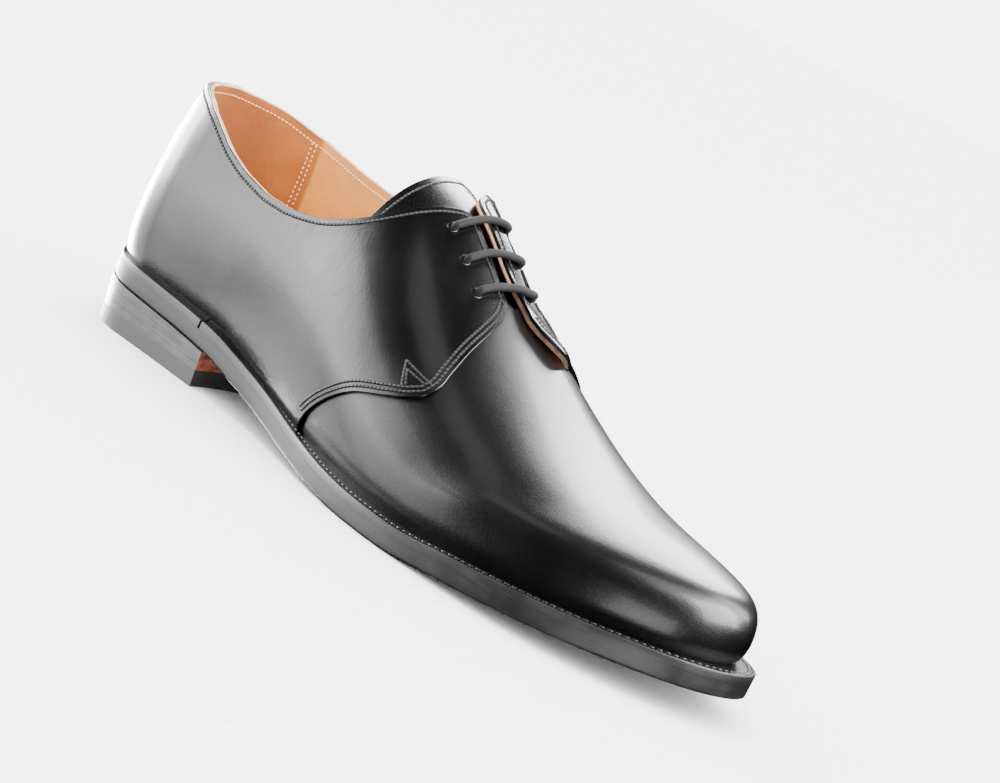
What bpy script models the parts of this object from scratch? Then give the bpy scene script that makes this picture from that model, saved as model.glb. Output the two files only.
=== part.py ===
"""A plain derby shoe for the right foot, built piece by piece.

The outer side of the foot is at -Y, the toe points along +X and up is +Z. The origin is on
the floor under the middle of the heel. Sizes are in millimetres and become metres when a mesh
is made. The upper, the tongue, the insole, the welt and the sole all follow one last, which is
a row of cross-sections. A place on the last is a side (RIGHT or LEFT), a station from 0 at the
back of the heel to 1 at the toe, and an angle from 0 at the feather edge to 90 at the ridge.
"""
import math
from collections import namedtuple

import bmesh
import bpy
import numpy as np

MM = 0.001
MERGE = 0.00001
RIGHT = -1
LEFT = 1

# The last. Half widths are taken from the middle of the shoe. Tuck is how far the feather edge
# lies inside the widest line, crown is the height of the ridge over the floor, shift is how far
# the ridge lies to the inner side, and square is the exponent of the section's corner.
Section = namedtuple("Section", "x right left tuck_right tuck_left crown shift square")
SECTIONS = (
    Section(x=-36, right=31.0, left=31.0, tuck_right=4.0, tuck_left=4.0, crown=128.0, shift=0.0, square=2.1),
    Section(x=0, right=31.4, left=31.4, tuck_right=4.0, tuck_left=4.0, crown=126.0, shift=0.0, square=2.1),
    Section(x=36, right=33.5, left=33.5, tuck_right=6.0, tuck_left=8.0, crown=117.0, shift=1.0, square=2.2),
    Section(x=72, right=38.0, left=36.5, tuck_right=8.0, tuck_left=15.0, crown=107.0, shift=2.5, square=2.0),
    Section(x=100, right=43.0, left=38.5, tuck_right=7.0, tuck_left=14.0, crown=97.0, shift=4.0, square=2.0),
    Section(x=128, right=47.5, left=41.0, tuck_right=5.0, tuck_left=8.0, crown=78.0, shift=5.0, square=2.0),
    Section(x=156, right=50.0, left=45.0, tuck_right=4.0, tuck_left=4.5, crown=61.5, shift=5.5, square=2.0),
    Section(x=184, right=48.5, left=45.0, tuck_right=4.0, tuck_left=4.0, crown=49.5, shift=5.0, square=2.0),
    Section(x=212, right=43.5, left=41.0, tuck_right=4.0, tuck_left=4.0, crown=43.0, shift=4.0, square=2.0),
    Section(x=240, right=35.0, left=35.0, tuck_right=4.0, tuck_left=4.0, crown=41.0, shift=3.0, square=2.0),
    Section(x=264, right=28.0, left=28.0, tuck_right=4.0, tuck_left=4.0, crown=38.0, shift=3.0, square=2.0),
)
SHOULDER = 3.0
HEEL_FAN = 0.96
FAN_END = 0.16
CAP_START = 0.80
CAP_X = 205.0
TOE_X = 262.0
CAP_LENGTH, CAP_WIDTH, CAP_HEIGHT = 2.6, 2.2, 5.0
TUCK_BASE, TUCK_SHARE = 5.0, 0.7

# The underside of the outsole: height over the floor along the shoe, with a level tread under
# the ball, an arched waist and a toe spring.
Tread = namedtuple("Tread", "x height")
TREAD = (
    Tread(x=-40, height=18.1), Tread(x=0, height=15.5), Tread(x=44, height=12.8),
    Tread(x=60, height=10.2), Tread(x=82, height=6.6), Tread(x=105, height=2.9),
    Tread(x=130, height=0.5), Tread(x=145, height=0.0), Tread(x=165, height=0.0),
    Tread(x=190, height=2.2), Tread(x=215, height=4.4), Tread(x=245, height=7.2),
    Tread(x=272, height=10.0),
)

# How far the sole's edge stands out from the feather edge of the upper, on each side.
Edge = namedtuple("Edge", "x right left")
SOLE_EDGE = (
    Edge(x=-40, right=2.2, left=2.2), Edge(x=20, right=2.6, left=2.6), Edge(x=45, right=3.4, left=3.2),
    Edge(x=80, right=3.8, left=3.4), Edge(x=105, right=4.6, left=4.4), Edge(x=130, right=6.2, left=6.0),
    Edge(x=152, right=7.4, left=7.6), Edge(x=176, right=8.0, left=8.2), Edge(x=200, right=8.4, left=8.4),
    Edge(x=230, right=8.6, left=8.6), Edge(x=272, right=8.6, left=8.6),
)

# The opening of the upper: collar, then the front edge of the facings. The angle says how far
# up the section the edge lies at each station. The inner collar is higher than the outer one,
# and the inner facing reaches over the ridge, past 90 degrees.
Opening = namedtuple("Opening", "station angle")
OUTER_OPENING = (
    Opening(station=0.0, angle=32.5), Opening(station=0.08, angle=31.5), Opening(station=0.13, angle=29.5),
    Opening(station=0.155, angle=27.2), Opening(station=0.18, angle=25.0), Opening(station=0.21, angle=22.9),
    Opening(station=0.245, angle=22.0), Opening(station=0.275, angle=22.1), Opening(station=0.313, angle=23.6),
    Opening(station=0.348, angle=26.6), Opening(station=0.373, angle=29.6), Opening(station=0.397, angle=34.0),
    Opening(station=0.418, angle=39.5), Opening(station=0.437, angle=47.6), Opening(station=0.451, angle=57.4),
    Opening(station=0.462, angle=67.5), Opening(station=0.472, angle=75.5), Opening(station=0.486, angle=78.0),
    Opening(station=1.0, angle=78.0),
)
INNER_OPENING = (
    Opening(station=0.0, angle=32.5), Opening(station=0.08, angle=31.5), Opening(station=0.13, angle=29.8),
    Opening(station=0.17, angle=29.0), Opening(station=0.21, angle=29.2), Opening(station=0.257, angle=30.3),
    Opening(station=0.30, angle=32.0), Opening(station=0.345, angle=35.0), Opening(station=0.385, angle=41.0),
    Opening(station=0.408, angle=49.0), Opening(station=0.423, angle=60.0), Opening(station=0.435, angle=74.0),
    Opening(station=0.446, angle=87.0), Opening(station=0.456, angle=93.5), Opening(station=0.467, angle=95.0),
    Opening(station=1.0, angle=95.0),
)

# The quarter lies over the vamp. Its front edge runs from the feather edge along the lower
# line, round the corner and up the diagonal to the foot of the facings.
Front = namedtuple("Front", "angle station")
LOWER_LINE = (
    Front(angle=0.0, station=0.478), Front(angle=2.5, station=0.495), Front(angle=6.2, station=0.516),
    Front(angle=11.5, station=0.543), Front(angle=19.0, station=0.584), Front(angle=25.0, station=0.608),
    Front(angle=31.0, station=0.621),
)
OUTER_FRONT = LOWER_LINE + (
    Front(angle=36.0, station=0.623), Front(angle=43.0, station=0.617), Front(angle=53.0, station=0.606),
    Front(angle=64.0, station=0.594), Front(angle=73.0, station=0.581), Front(angle=78.0, station=0.567),
)
INNER_FRONT = LOWER_LINE + (
    Front(angle=37.0, station=0.625), Front(angle=45.0, station=0.622), Front(angle=55.0, station=0.617),
    Front(angle=66.0, station=0.612), Front(angle=76.0, station=0.606), Front(angle=84.0, station=0.597),
    Front(angle=90.0, station=0.583), Front(angle=95.0, station=0.567),
)

VAMP_WALL = 2.0
HEEL_WALL = 2.4
QUARTER_WALL = 3.2
STEP_RUN = 0.0015
FLARE = 2.4
FLARE_RUN = 0.05
GAP = 0.3

OUTSOLE_THICK = 5.5
WELT_THICK = 3.0
EDGE_BEVEL = 0.6
RAND_PROUD = 0.4
INSOLE_THICK = 2.4
TONGUE_THICK = 1.8
TONGUE_DROP = 1.0
TONGUE_TOP, TONGUE_FOOT = 0.411, 0.600
TONGUE_ANGLE_TOP, TONGUE_ANGLE_FOOT = 40.0, 52.0
TONGUE_ROUND = 0.035
TONGUE_ROWS, TONGUE_COLUMNS = 12, 7

BREAST_X = 43.0
BREAST_HOLLOW = 5.0
NOTCH_X = 36.0
NOTCH_WIDTH = 1.0
TOP_PIECE_THICK = 6.0
LIFTS = 3
HEEL_TAPER = 1.6
HEEL_TAPER_BACK = 3.0

EYELET_STATIONS = (0.484, 0.518, 0.551)
EYELET_ANGLE = {RIGHT: 65.5, LEFT: 82.0}
EYELET_BORE = 1.7
LACE_RADIUS = 1.5
LACE_SIDES = 8
LACE_RINGS = 7

# Mesh rows and columns.
WALL_COLUMNS = 13
COLUMN_CROWD = 1.5
BACK_STATIONS = (0.0, 0.027, 0.053, 0.08, 0.107, 0.133, 0.16, 0.20, 0.25, 0.30)
QUARTER_ROWS = 17
VAMP_ROWS = 5
VAMP_END = 0.70
REACH_DEGREES = (0, 0.02, 0.05, 0.1, 0.16, 0.23, 0.3, 0.45, 0.7, 1.0, 1.5, 2.5)
CAP_DEGREES = (0, 12, 24, 35, 46, 56, 65, 73, 79, 84, 87.5, 89.3, 90)


def spline(xs, ys):
    """Natural cubic spline through the points of a table."""
    xs = np.asarray(xs, float)
    ys = np.asarray(ys, float)
    count = len(xs)
    step = np.diff(xs)
    matrix = np.eye(count)
    right_side = np.zeros(count)
    for i in range(1, count - 1):
        matrix[i, i - 1:i + 2] = step[i - 1], 2 * (step[i - 1] + step[i]), step[i]
        right_side[i] = 6 * ((ys[i + 1] - ys[i]) / step[i] - (ys[i] - ys[i - 1]) / step[i - 1])
    bend = np.linalg.solve(matrix, right_side)

    def value(x):
        x = np.asarray(x, float)
        i = np.clip(np.searchsorted(xs, x) - 1, 0, count - 2)
        u = x - xs[i]
        slope = (ys[i + 1] - ys[i]) / step[i] - step[i] * (2 * bend[i] + bend[i + 1]) / 6
        return ys[i] + u * slope + u * u * bend[i] / 2 + u ** 3 * (bend[i + 1] - bend[i]) / (6 * step[i])
    return value


def fair_line(xs, ys):
    """Curve through the points of a table that never swings past them."""
    xs = np.asarray(xs, float)
    ys = np.asarray(ys, float)
    step = np.diff(xs)
    rise = np.diff(ys) / step
    slope = np.zeros(len(xs))
    slope[0], slope[-1] = rise[0], rise[-1]
    for i in range(1, len(xs) - 1):
        if rise[i - 1] * rise[i] > 0:
            a = 2 * step[i] + step[i - 1]
            b = step[i] + 2 * step[i - 1]
            slope[i] = (a + b) / (a / rise[i - 1] + b / rise[i])

    def value(x):
        x = np.clip(np.asarray(x, float), xs[0], xs[-1])
        i = np.clip(np.searchsorted(xs, x) - 1, 0, len(xs) - 2)
        u = (x - xs[i]) / step[i]
        ends = ys[i] * (1 + 2 * u) * (1 - u) ** 2 + ys[i + 1] * u * u * (3 - 2 * u)
        return ends + step[i] * (slope[i] * u * (1 - u) ** 2 - slope[i + 1] * u * u * (1 - u))
    return value


LAST = {name: spline([s.x for s in SECTIONS], [getattr(s, name) for s in SECTIONS])
        for name in Section._fields[1:]}
tread = fair_line(*zip(*TREAD))
sole_edge = {RIGHT: fair_line([e.x for e in SOLE_EDGE], [e.right for e in SOLE_EDGE]),
             LEFT: fair_line([e.x for e in SOLE_EDGE], [e.left for e in SOLE_EDGE])}
opening_angle = {RIGHT: fair_line(*zip(*OUTER_OPENING)), LEFT: fair_line(*zip(*INNER_OPENING))}
quarter_front = {RIGHT: fair_line(*zip(*OUTER_FRONT)), LEFT: fair_line(*zip(*INNER_FRONT))}
FEATHER_HEIGHT = OUTSOLE_THICK + WELT_THICK
WALL_TOP = {RIGHT: OUTER_OPENING[-1].angle, LEFT: INNER_OPENING[-1].angle}


def smooth(low, high, x):
    """Soft step from 0 at low to 1 at high."""
    u = np.clip((np.asarray(x, float) - low) / (high - low), 0, 1)
    return u * u * (3 - 2 * u)


def station_of(x):
    """Station of a section that lies at x, for the straight part of the last."""
    return FAN_END + x / CAP_X * (CAP_START - FAN_END)


def open_section(side, station, angle):
    """Place on the last before the sides are tucked in, with its section's x and height."""
    station, angle = np.broadcast_arrays(np.asarray(station, float), np.asarray(angle, float))
    turn = np.clip(1 - station / FAN_END, 0, 1) * math.pi / 2
    body = np.clip((station - FAN_END) / (CAP_START - FAN_END), 0, 1) * CAP_X
    cap = np.clip((station - CAP_START) / (1 - CAP_START), 0, 1) * math.pi / 2
    x = np.where(station < CAP_START, body, CAP_X + (TOE_X - CAP_X) * np.sin(cap) ** (2 / CAP_LENGTH))
    closing = np.maximum(np.cos(cap), 0)
    ridge = LAST["shift"](x)
    half = LAST["right"](x) + ridge if side == RIGHT else LAST["left"](x) - ridge
    half = half * closing ** (2 / CAP_WIDTH)
    foot = tread(x) + FEATHER_HEIGHT
    rise = (LAST["crown"](x) - foot) * closing ** (2 / CAP_HEIGHT)
    up = rise * np.sin(angle) ** (2 / SHOULDER)
    out = half * np.maximum(np.cos(angle), 0) ** (2 / LAST["square"](x))
    return x - HEEL_FAN * out * np.sin(turn), ridge + side * out * np.cos(turn), foot, up, x


def plan_normal(side, station):
    """Level direction that points out of the feather edge."""
    step = 1e-4
    a = open_section(side, np.clip(np.asarray(station) - step, 0, 1), 0.0)
    b = open_section(side, np.clip(np.asarray(station) + step, 0, 1), 0.0)
    dx, dy = b[0] - a[0], b[1] - a[1]
    normal = np.stack([-side * dy, side * dx], -1)
    return normal / np.maximum(np.linalg.norm(normal, axis=-1, keepdims=True), 1e-12)


def last_point(side, station, angle):
    """Point of the last's surface."""
    x, y, foot, up, row = open_section(side, station, angle)
    normal = plan_normal(side, station)
    tuck = LAST["tuck_right"](row) if side == RIGHT else LAST["tuck_left"](row)
    pull = tuck * np.exp(-up / (TUCK_BASE + TUCK_SHARE * tuck))
    return np.stack([x - normal[..., 0] * pull, y - normal[..., 1] * pull, foot + up], -1)


def skin(side, station, angle, depth):
    """Point at a depth over the last. Past a right angle it lies over the ridge, on the other side."""
    station, angle, depth = np.broadcast_arrays(*(np.asarray(v, float) for v in (station, angle, depth)))
    near = side_skin(side, station, np.minimum(angle, math.pi / 2), depth)
    over = side_skin(-side, station, math.pi - np.maximum(angle, math.pi / 2), depth)
    return np.where((angle > math.pi / 2)[..., None], over, near)


def side_skin(side, station, angle, depth):
    """Point at a depth over one side of the last, along the surface's normal."""
    step = 1e-3
    s = np.clip(station, 2 * step, 1 - 2 * step)
    a = np.clip(angle, 2 * step, math.pi / 2 - 2 * step)
    along = last_point(side, s + step, a) - last_point(side, s - step, a)
    up = last_point(side, s, a + step) - last_point(side, s, a - step)
    normal = -side * np.cross(along, up)
    normal /= np.maximum(np.linalg.norm(normal, axis=-1, keepdims=True), 1e-12)
    point = last_point(side, station, angle) + normal * depth[..., None]
    point[..., 1] = np.where(station <= 0, LAST["shift"](0.0), point[..., 1])
    tip = np.stack([TOE_X + depth, np.full_like(depth, LAST["shift"](TOE_X)),
                    np.full_like(depth, tread(TOE_X) + FEATHER_HEIGHT)], -1)
    return np.where((station >= 1)[..., None], tip, point)


def ridge_point(station, depth):
    """Point on the ridge, shared by both sides."""
    return (skin(RIGHT, station, math.pi / 2, depth) + skin(LEFT, station, math.pi / 2, depth)) / 2


def rim(side, station, out, height):
    """Point beside the feather edge, a distance out of it and a height over the tread."""
    station = np.asarray(station, float)
    edge = last_point(side, station, 0.0)
    normal = plan_normal(side, station)
    x = edge[..., 0] + normal[..., 0] * out
    y = edge[..., 1] + normal[..., 1] * out
    y = np.where((station <= 0) | (station >= 1), LAST["shift"](np.where(station <= 0, 0.0, TOE_X)), y)
    return np.stack([x, y, tread(x) + height], -1)


def quarter_wall(station):
    """Thickness of the quarter, from the heel to where it lies over the vamp."""
    return HEEL_WALL + (QUARTER_WALL - HEEL_WALL) * smooth(0.2, 0.42, station)


def foot_wall(station):
    """Thickness of the upper at the feather edge."""
    return quarter_wall(station) + (VAMP_WALL - QUARTER_WALL) * smooth(0.50, 0.53, station)


def foot_reach(side, station):
    """How far the upper stands out of the feather edge, up to the top of the welt."""
    reach = 0.0
    foot = rim(side, station, 0.0, 0.0)
    normal = plan_normal(side, station)
    for degrees in REACH_DEGREES:
        point = skin(side, station, math.radians(degrees), foot_wall(station))
        if point[2] < tread(point[0]) + FEATHER_HEIGHT + GAP:
            reach = max(reach, float(np.dot(point[:2] - foot[:2], normal)))
    return reach


def sole_rim(side, station, height, out=0.0):
    """Point on the outline of the sole."""
    feather = last_point(side, station, 0.0)
    return rim(side, station, VAMP_WALL + sole_edge[side](feather[..., 0]) + out, height)


def cap_station(degrees):
    """Station of a row of the toe cap."""
    return CAP_START + (1 - CAP_START) * degrees / 90


def material(name, color, roughness, metallic=0.0):
    """Plain surface of one kind of piece."""
    made = bpy.data.materials.new(name)
    made.use_nodes = True
    shader = made.node_tree.nodes["Principled BSDF"]
    shader.inputs["Base Color"].default_value = (*color, 1.0)
    shader.inputs["Roughness"].default_value = roughness
    shader.inputs["Metallic"].default_value = metallic
    return made


def add_object(name, vertices, faces, finish, sharp_degrees=35.0):
    """Object with one closed mesh, its faces pointing out."""
    mesh = bpy.data.meshes.new(name)
    mesh.from_pydata([tuple(float(c) * MM for c in v) for v in vertices], [], faces)
    work = bmesh.new()
    work.from_mesh(mesh)
    bmesh.ops.remove_doubles(work, verts=work.verts, dist=MERGE)
    bmesh.ops.dissolve_degenerate(work, edges=work.edges, dist=MERGE / 10)
    bmesh.ops.recalc_face_normals(work, faces=work.faces)
    work.to_mesh(mesh)
    work.free()
    mesh.materials.append(finish)
    mesh.shade_smooth()
    mesh.set_sharp_from_angle(angle=math.radians(sharp_degrees))
    made = bpy.data.objects.new(name, mesh)
    bpy.context.collection.objects.link(made)
    return made


class Skin:
    """Vertices and faces of one piece while it is put together."""

    def __init__(self):
        self.vertices = []
        self.faces = []

    def row(self, points):
        start = len(self.vertices)
        self.vertices.extend(points)
        return list(range(start, len(self.vertices)))

    def strip(self, first, second, closed=False):
        count = len(first) if closed else len(first) - 1
        for i in range(count):
            j = (i + 1) % len(first)
            self.faces.append((first[i], first[j], second[j], second[i]))


def upper_rows(side):
    """Rows of one side of the upper from heel to toe: a station for each column, and the kind."""
    share = (np.arange(WALL_COLUMNS + 1) / WALL_COLUMNS) ** COLUMN_CROWD
    front = quarter_front[side](share * WALL_TOP[side])
    rows = [(np.full_like(share, s), True) for s in BACK_STATIONS]
    back = BACK_STATIONS[-1]
    rows += [(back + (front - back) * k / QUARTER_ROWS, True) for k in range(1, QUARTER_ROWS + 1)]
    start = front + STEP_RUN
    rows += [(start + (VAMP_END - start) * k / VAMP_ROWS, False) for k in range(VAMP_ROWS + 1)]
    middle = (VAMP_END + CAP_START) / 2
    rows += [(np.full_like(share, s), False) for s in (middle, *(cap_station(d) for d in CAP_DEGREES))]
    return share, rows


def flare(side, degrees, stations):
    """The inner facing stands off the vamp towards its lower front corner."""
    if side == RIGHT:
        return np.zeros_like(degrees)
    near_edge = smooth(-FLARE_RUN, 0.0, stations - quarter_front[side](degrees))
    high = smooth(40.0, 58.0, degrees) * (1 - 0.6 * smooth(76.0, 95.0, degrees))
    return FLARE * near_edge * high


def build_upper(finish):
    """Vamp and quarters as one hollow solid, open at the collar, throat and underneath."""
    share, _ = upper_rows(RIGHT)
    crest = math.radians((WALL_TOP[RIGHT] + 180 - WALL_TOP[LEFT]) / 2)
    piece = Skin()
    loops = []
    for pair in zip(upper_rows(RIGHT)[1], upper_rows(LEFT)[1]):
        ring = {}
        for side, (stations, on_quarter) in zip((RIGHT, LEFT), pair):
            degrees = share * opening_angle[side](stations)
            wall = np.full_like(share, VAMP_WALL)
            if on_quarter:
                wall = quarter_wall(stations) + flare(side, degrees, stations)
            for name, depth in (("outer", wall), ("inner", np.zeros_like(share))):
                column = skin(side, stations, np.radians(degrees), depth)
                hem = column[0].copy()
                hem[2] = tread(hem[0]) + OUTSOLE_THICK + GAP
                ring[name, side] = piece.row([hem, *column])
        if not on_quarter:
            middle = (pair[0][0][-1] + pair[1][0][-1]) / 2
            for name, depth in (("outer", VAMP_WALL), ("inner", 0.0)):
                ring[name, "crest"] = piece.row([skin(RIGHT, middle, crest, depth)])
        loops.append(ring)
    for first, second in zip(loops, loops[1:]):
        for side in (RIGHT, LEFT):
            piece.strip(first["outer", side], second["outer", side])
            piece.strip(first["inner", side], second["inner", side])
            for end in (0, -1):
                if end == 0 or ("outer", "crest") not in first:
                    piece.faces.append((first["outer", side][end], second["outer", side][end],
                                        second["inner", side][end], first["inner", side][end]))
        if ("outer", "crest") in first:
            for name in ("outer", "inner"):
                piece.strip(crest_line(first, name), crest_line(second, name))
    throat = next(ring for ring in loops if ("outer", "crest") in ring)
    piece.strip(crest_line(throat, "outer"), crest_line(throat, "inner"))
    made = add_object("upper", piece.vertices, clean(piece), finish)
    bore = made.modifiers.new("eyelets", "BOOLEAN")
    bore.operation = "DIFFERENCE"
    bore.object = eyelet_cutter()
    return made


def crest_line(ring, name):
    """Vertices of one row that cross the ridge between the two walls."""
    return [ring[name, RIGHT][-1], *ring[name, "crest"], ring[name, LEFT][-1]]


def clean(piece):
    """Faces without those that have shrunk to a line."""
    points = np.array(piece.vertices)
    kept = []
    for face in piece.faces:
        corners = []
        for index in face:
            if all(np.linalg.norm(points[index] - points[other]) > 1e-3 for other in corners):
                corners.append(index)
        if len(corners) > 2:
            kept.append(tuple(corners))
    return kept


def eyelet_frame(side, station, depth):
    """Place over an eyelet and the direction out of the facing."""
    angle = math.radians(EYELET_ANGLE[side])
    place = skin(side, station, angle, depth)
    foot = skin(side, station, angle, 0.0)
    return place, (place - foot) / np.linalg.norm(place - foot)


def eyelet_cutter():
    """Pins that punch the six eyelets."""
    piece = Skin()
    sides = 12
    for side in (RIGHT, LEFT):
        for station in EYELET_STATIONS:
            middle, axis = eyelet_frame(side, station, QUARTER_WALL / 2)
            across = np.cross(axis, (1.0, 0.0, 0.0))
            across /= np.linalg.norm(across)
            third = np.cross(axis, across)
            turns = np.arange(sides) / sides * 2 * math.pi
            circle = EYELET_BORE * (np.cos(turns)[:, None] * across + np.sin(turns)[:, None] * third)
            low = piece.row(middle + circle - axis * 4.0)
            high = piece.row(middle + circle + axis * 6.0)
            piece.strip(low, high, closed=True)
            piece.faces += [tuple(reversed(low)), tuple(high)]
    made = add_object("eyelet_cutter", piece.vertices, piece.faces, None)
    made.hide_render = True
    made.display_type = "WIRE"
    return made


def ladder(name, stations, outline, low, high, finish, bevel=EDGE_BEVEL):
    """Plate between two outlines: a rung at each station, from the heel to the toe."""
    piece = Skin()
    rings = []
    for height, out in ((low, -bevel), (low + bevel, 0.0), (high - bevel, 0.0), (high, -bevel)):
        rights = piece.row([outline(RIGHT, s, height, out) for s in stations])
        lefts = piece.row([outline(LEFT, s, height, out) for s in stations])
        rings.append((rights, lefts))
    for rights, lefts in (rings[0], rings[-1]):
        piece.strip(rights, lefts)
    for (r0, l0), (r1, l1) in zip(rings, rings[1:]):
        piece.strip(r0, r1)
        piece.strip(l0, l1)
    return add_object(name, piece.vertices, clean(piece), finish)


def sole_stations():
    """Stations of the sole's rungs: heel, straight part and toe."""
    heel = np.linspace(0, FAN_END, 10)
    body = [station_of(x) for x in np.arange(6, CAP_X, 7.0)]
    treads = [station_of(t.x) for t in TREAD if 0 < t.x < CAP_X]
    body = sorted(body + treads)
    toe = [cap_station(d) for d in CAP_DEGREES]
    return [*heel, *body, *toe]


def build_outsole(finish):
    """Leather outsole with its waist, level tread and toe spring."""
    return ladder("outsole", sole_stations(), sole_rim, 0.0, OUTSOLE_THICK, finish)


def build_insole(finish):
    """Leather insole inside the foot of the upper."""
    def outline(side, station, height, out):
        return rim(side, station, out - 2 * GAP, height)
    low = OUTSOLE_THICK + GAP
    return ladder("insole", sole_stations(), outline, low, low + INSOLE_THICK, finish, bevel=0.3)


def edge_strip(name, stations, low, high, proud, finish):
    """Strip round the foot of the upper, one closed ring of five sides at each station."""
    piece = Skin()
    rings = []
    for side, station in stations:
        inner = foot_reach(side, station) + GAP
        outer = [sole_rim(side, station, low, proud), sole_rim(side, station, high - EDGE_BEVEL, proud),
                 sole_rim(side, station, high, proud - EDGE_BEVEL)]
        ring = [rim(side, station, inner, low), *outer, rim(side, station, inner, high)]
        rings.append(piece.row(ring))
    for first, second in zip(rings, rings[1:]):
        piece.strip(first, second, closed=True)
    piece.faces += [tuple(rings[0]), tuple(reversed(rings[-1]))]
    return add_object(name, piece.vertices, piece.faces, finish)


def build_welt(finish):
    """Welt from the heel notch round the toe to the other notch."""
    start = station_of(NOTCH_X + NOTCH_WIDTH)
    way = [start, *(s for s in sole_stations() if start + 0.01 < s < 1)]
    stations = [(RIGHT, s) for s in way] + [(RIGHT, 1.0)] + [(LEFT, s) for s in reversed(way)]
    low = OUTSOLE_THICK + GAP
    return edge_strip("welt", stations, low, OUTSOLE_THICK + WELT_THICK, 0.0, finish)


def build_rand(finish):
    """Heel rand, which closes the welt's line round the heel."""
    end = station_of(NOTCH_X)
    way = [end, *(s for s in reversed(sole_stations()) if 0 < s < end - 0.01)]
    stations = [(RIGHT, s) for s in way] + [(RIGHT, 0.0)] + [(LEFT, s) for s in reversed(way)]
    low = OUTSOLE_THICK + GAP
    return edge_strip("heel_rand", stations, low, OUTSOLE_THICK + WELT_THICK, RAND_PROUD, finish)


def heel_taper(station):
    """How far the heel draws in from the seat to the floor: more at the back than at the sides."""
    return HEEL_TAPER + (HEEL_TAPER_BACK - HEEL_TAPER) * smooth(FAN_END, 0.0, station)


def heel_layer(name, bottom, top, finish):
    """One layer of the heel stack, with the hollowed breast in front."""
    piece = Skin()
    breast = station_of(BREAST_X)
    stations = [*np.linspace(0, FAN_END, 8), station_of(15), station_of(30), breast]
    columns = 6
    grids = []
    for level in (bottom, top):
        rows = []
        for station in stations:
            ends = []
            for side in (RIGHT, LEFT):
                point = sole_rim(side, station, 0.0)
                taper = heel_taper(station) * (1 - level(point[0]) / tread(point[0]))
                ends.append(sole_rim(side, station, 0.0, -taper))
            across = np.linspace(0, 1, columns + 1)[:, None]
            line = ends[0] * (1 - across) + ends[1] * across
            hollow = BREAST_HOLLOW * smooth(station_of(15), breast, station)
            line[:, 0] -= hollow * (1 - (2 * across[:, 0] - 1) ** 2)
            line[:, 2] = level(line[:, 0])
            rows.append(piece.row(line))
        grids.append(rows)
    for rows in grids:
        for first, second in zip(rows, rows[1:]):
            piece.strip(first, second)
    low, high = grids
    for column in (0, -1):
        piece.strip([row[column] for row in low], [row[column] for row in high])
    piece.strip(low[-1], high[-1])
    return add_object(name, piece.vertices, clean(piece), finish)


def build_heel(lift_finish, top_piece_finish):
    """Stack of leather lifts on a rubber top piece."""
    def top_of(x):
        return tread(x) - GAP

    def stack_level(fraction, gap):
        base = TOP_PIECE_THICK + GAP
        return lambda x: base + (top_of(x) - base) * fraction + gap
    heel_layer("top_piece", lambda x: 0.0 * x, lambda x: TOP_PIECE_THICK + 0.0 * x, top_piece_finish)
    for number in range(LIFTS):
        bottom = stack_level(number / LIFTS, 0.0 if number == 0 else GAP / 2)
        top = stack_level((number + 1) / LIFTS, 0.0 if number == LIFTS - 1 else -GAP / 2)
        heel_layer(f"heel_lift_{number + 1}", bottom, top, lift_finish)


def tongue_top(side, degrees):
    """Station of the tongue's top edge, which falls away round its inner corner."""
    if side == RIGHT:
        return TONGUE_TOP
    return TONGUE_TOP + TONGUE_ROUND * ((90 - degrees) / (90 - TONGUE_ANGLE_TOP)) ** 2


def build_tongue(finish):
    """Tongue under the facings, its foot under the vamp."""
    piece = Skin()
    rows = []
    for share in np.linspace(0, 1, TONGUE_ROWS):
        low = TONGUE_ANGLE_TOP + (TONGUE_ANGLE_FOOT - TONGUE_ANGLE_TOP) * share
        angles = np.linspace(low, 90, TONGUE_COLUMNS)[:-1]
        ring = []
        for depth in (-TONGUE_DROP, -TONGUE_DROP - TONGUE_THICK):
            line = {}
            for side in (RIGHT, LEFT):
                line[side] = [skin(side, tongue_top(side, a) * (1 - share) + TONGUE_FOOT * share,
                                   math.radians(a), depth) for a in angles]
            crest = ridge_point(TONGUE_TOP * (1 - share) + TONGUE_FOOT * share, depth)
            whole = [*line[RIGHT], crest, *reversed(line[LEFT])]
            ring.extend(whole if depth == -TONGUE_DROP else reversed(whole))
        rows.append(piece.row(ring))
    for first, second in zip(rows, rows[1:]):
        piece.strip(first, second, closed=True)
    half = len(rows[0]) // 2
    for row in (rows[0], rows[-1]):
        piece.strip(row[:half], list(reversed(row[half:])))
    return add_object("tongue", piece.vertices, piece.faces, finish)


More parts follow.
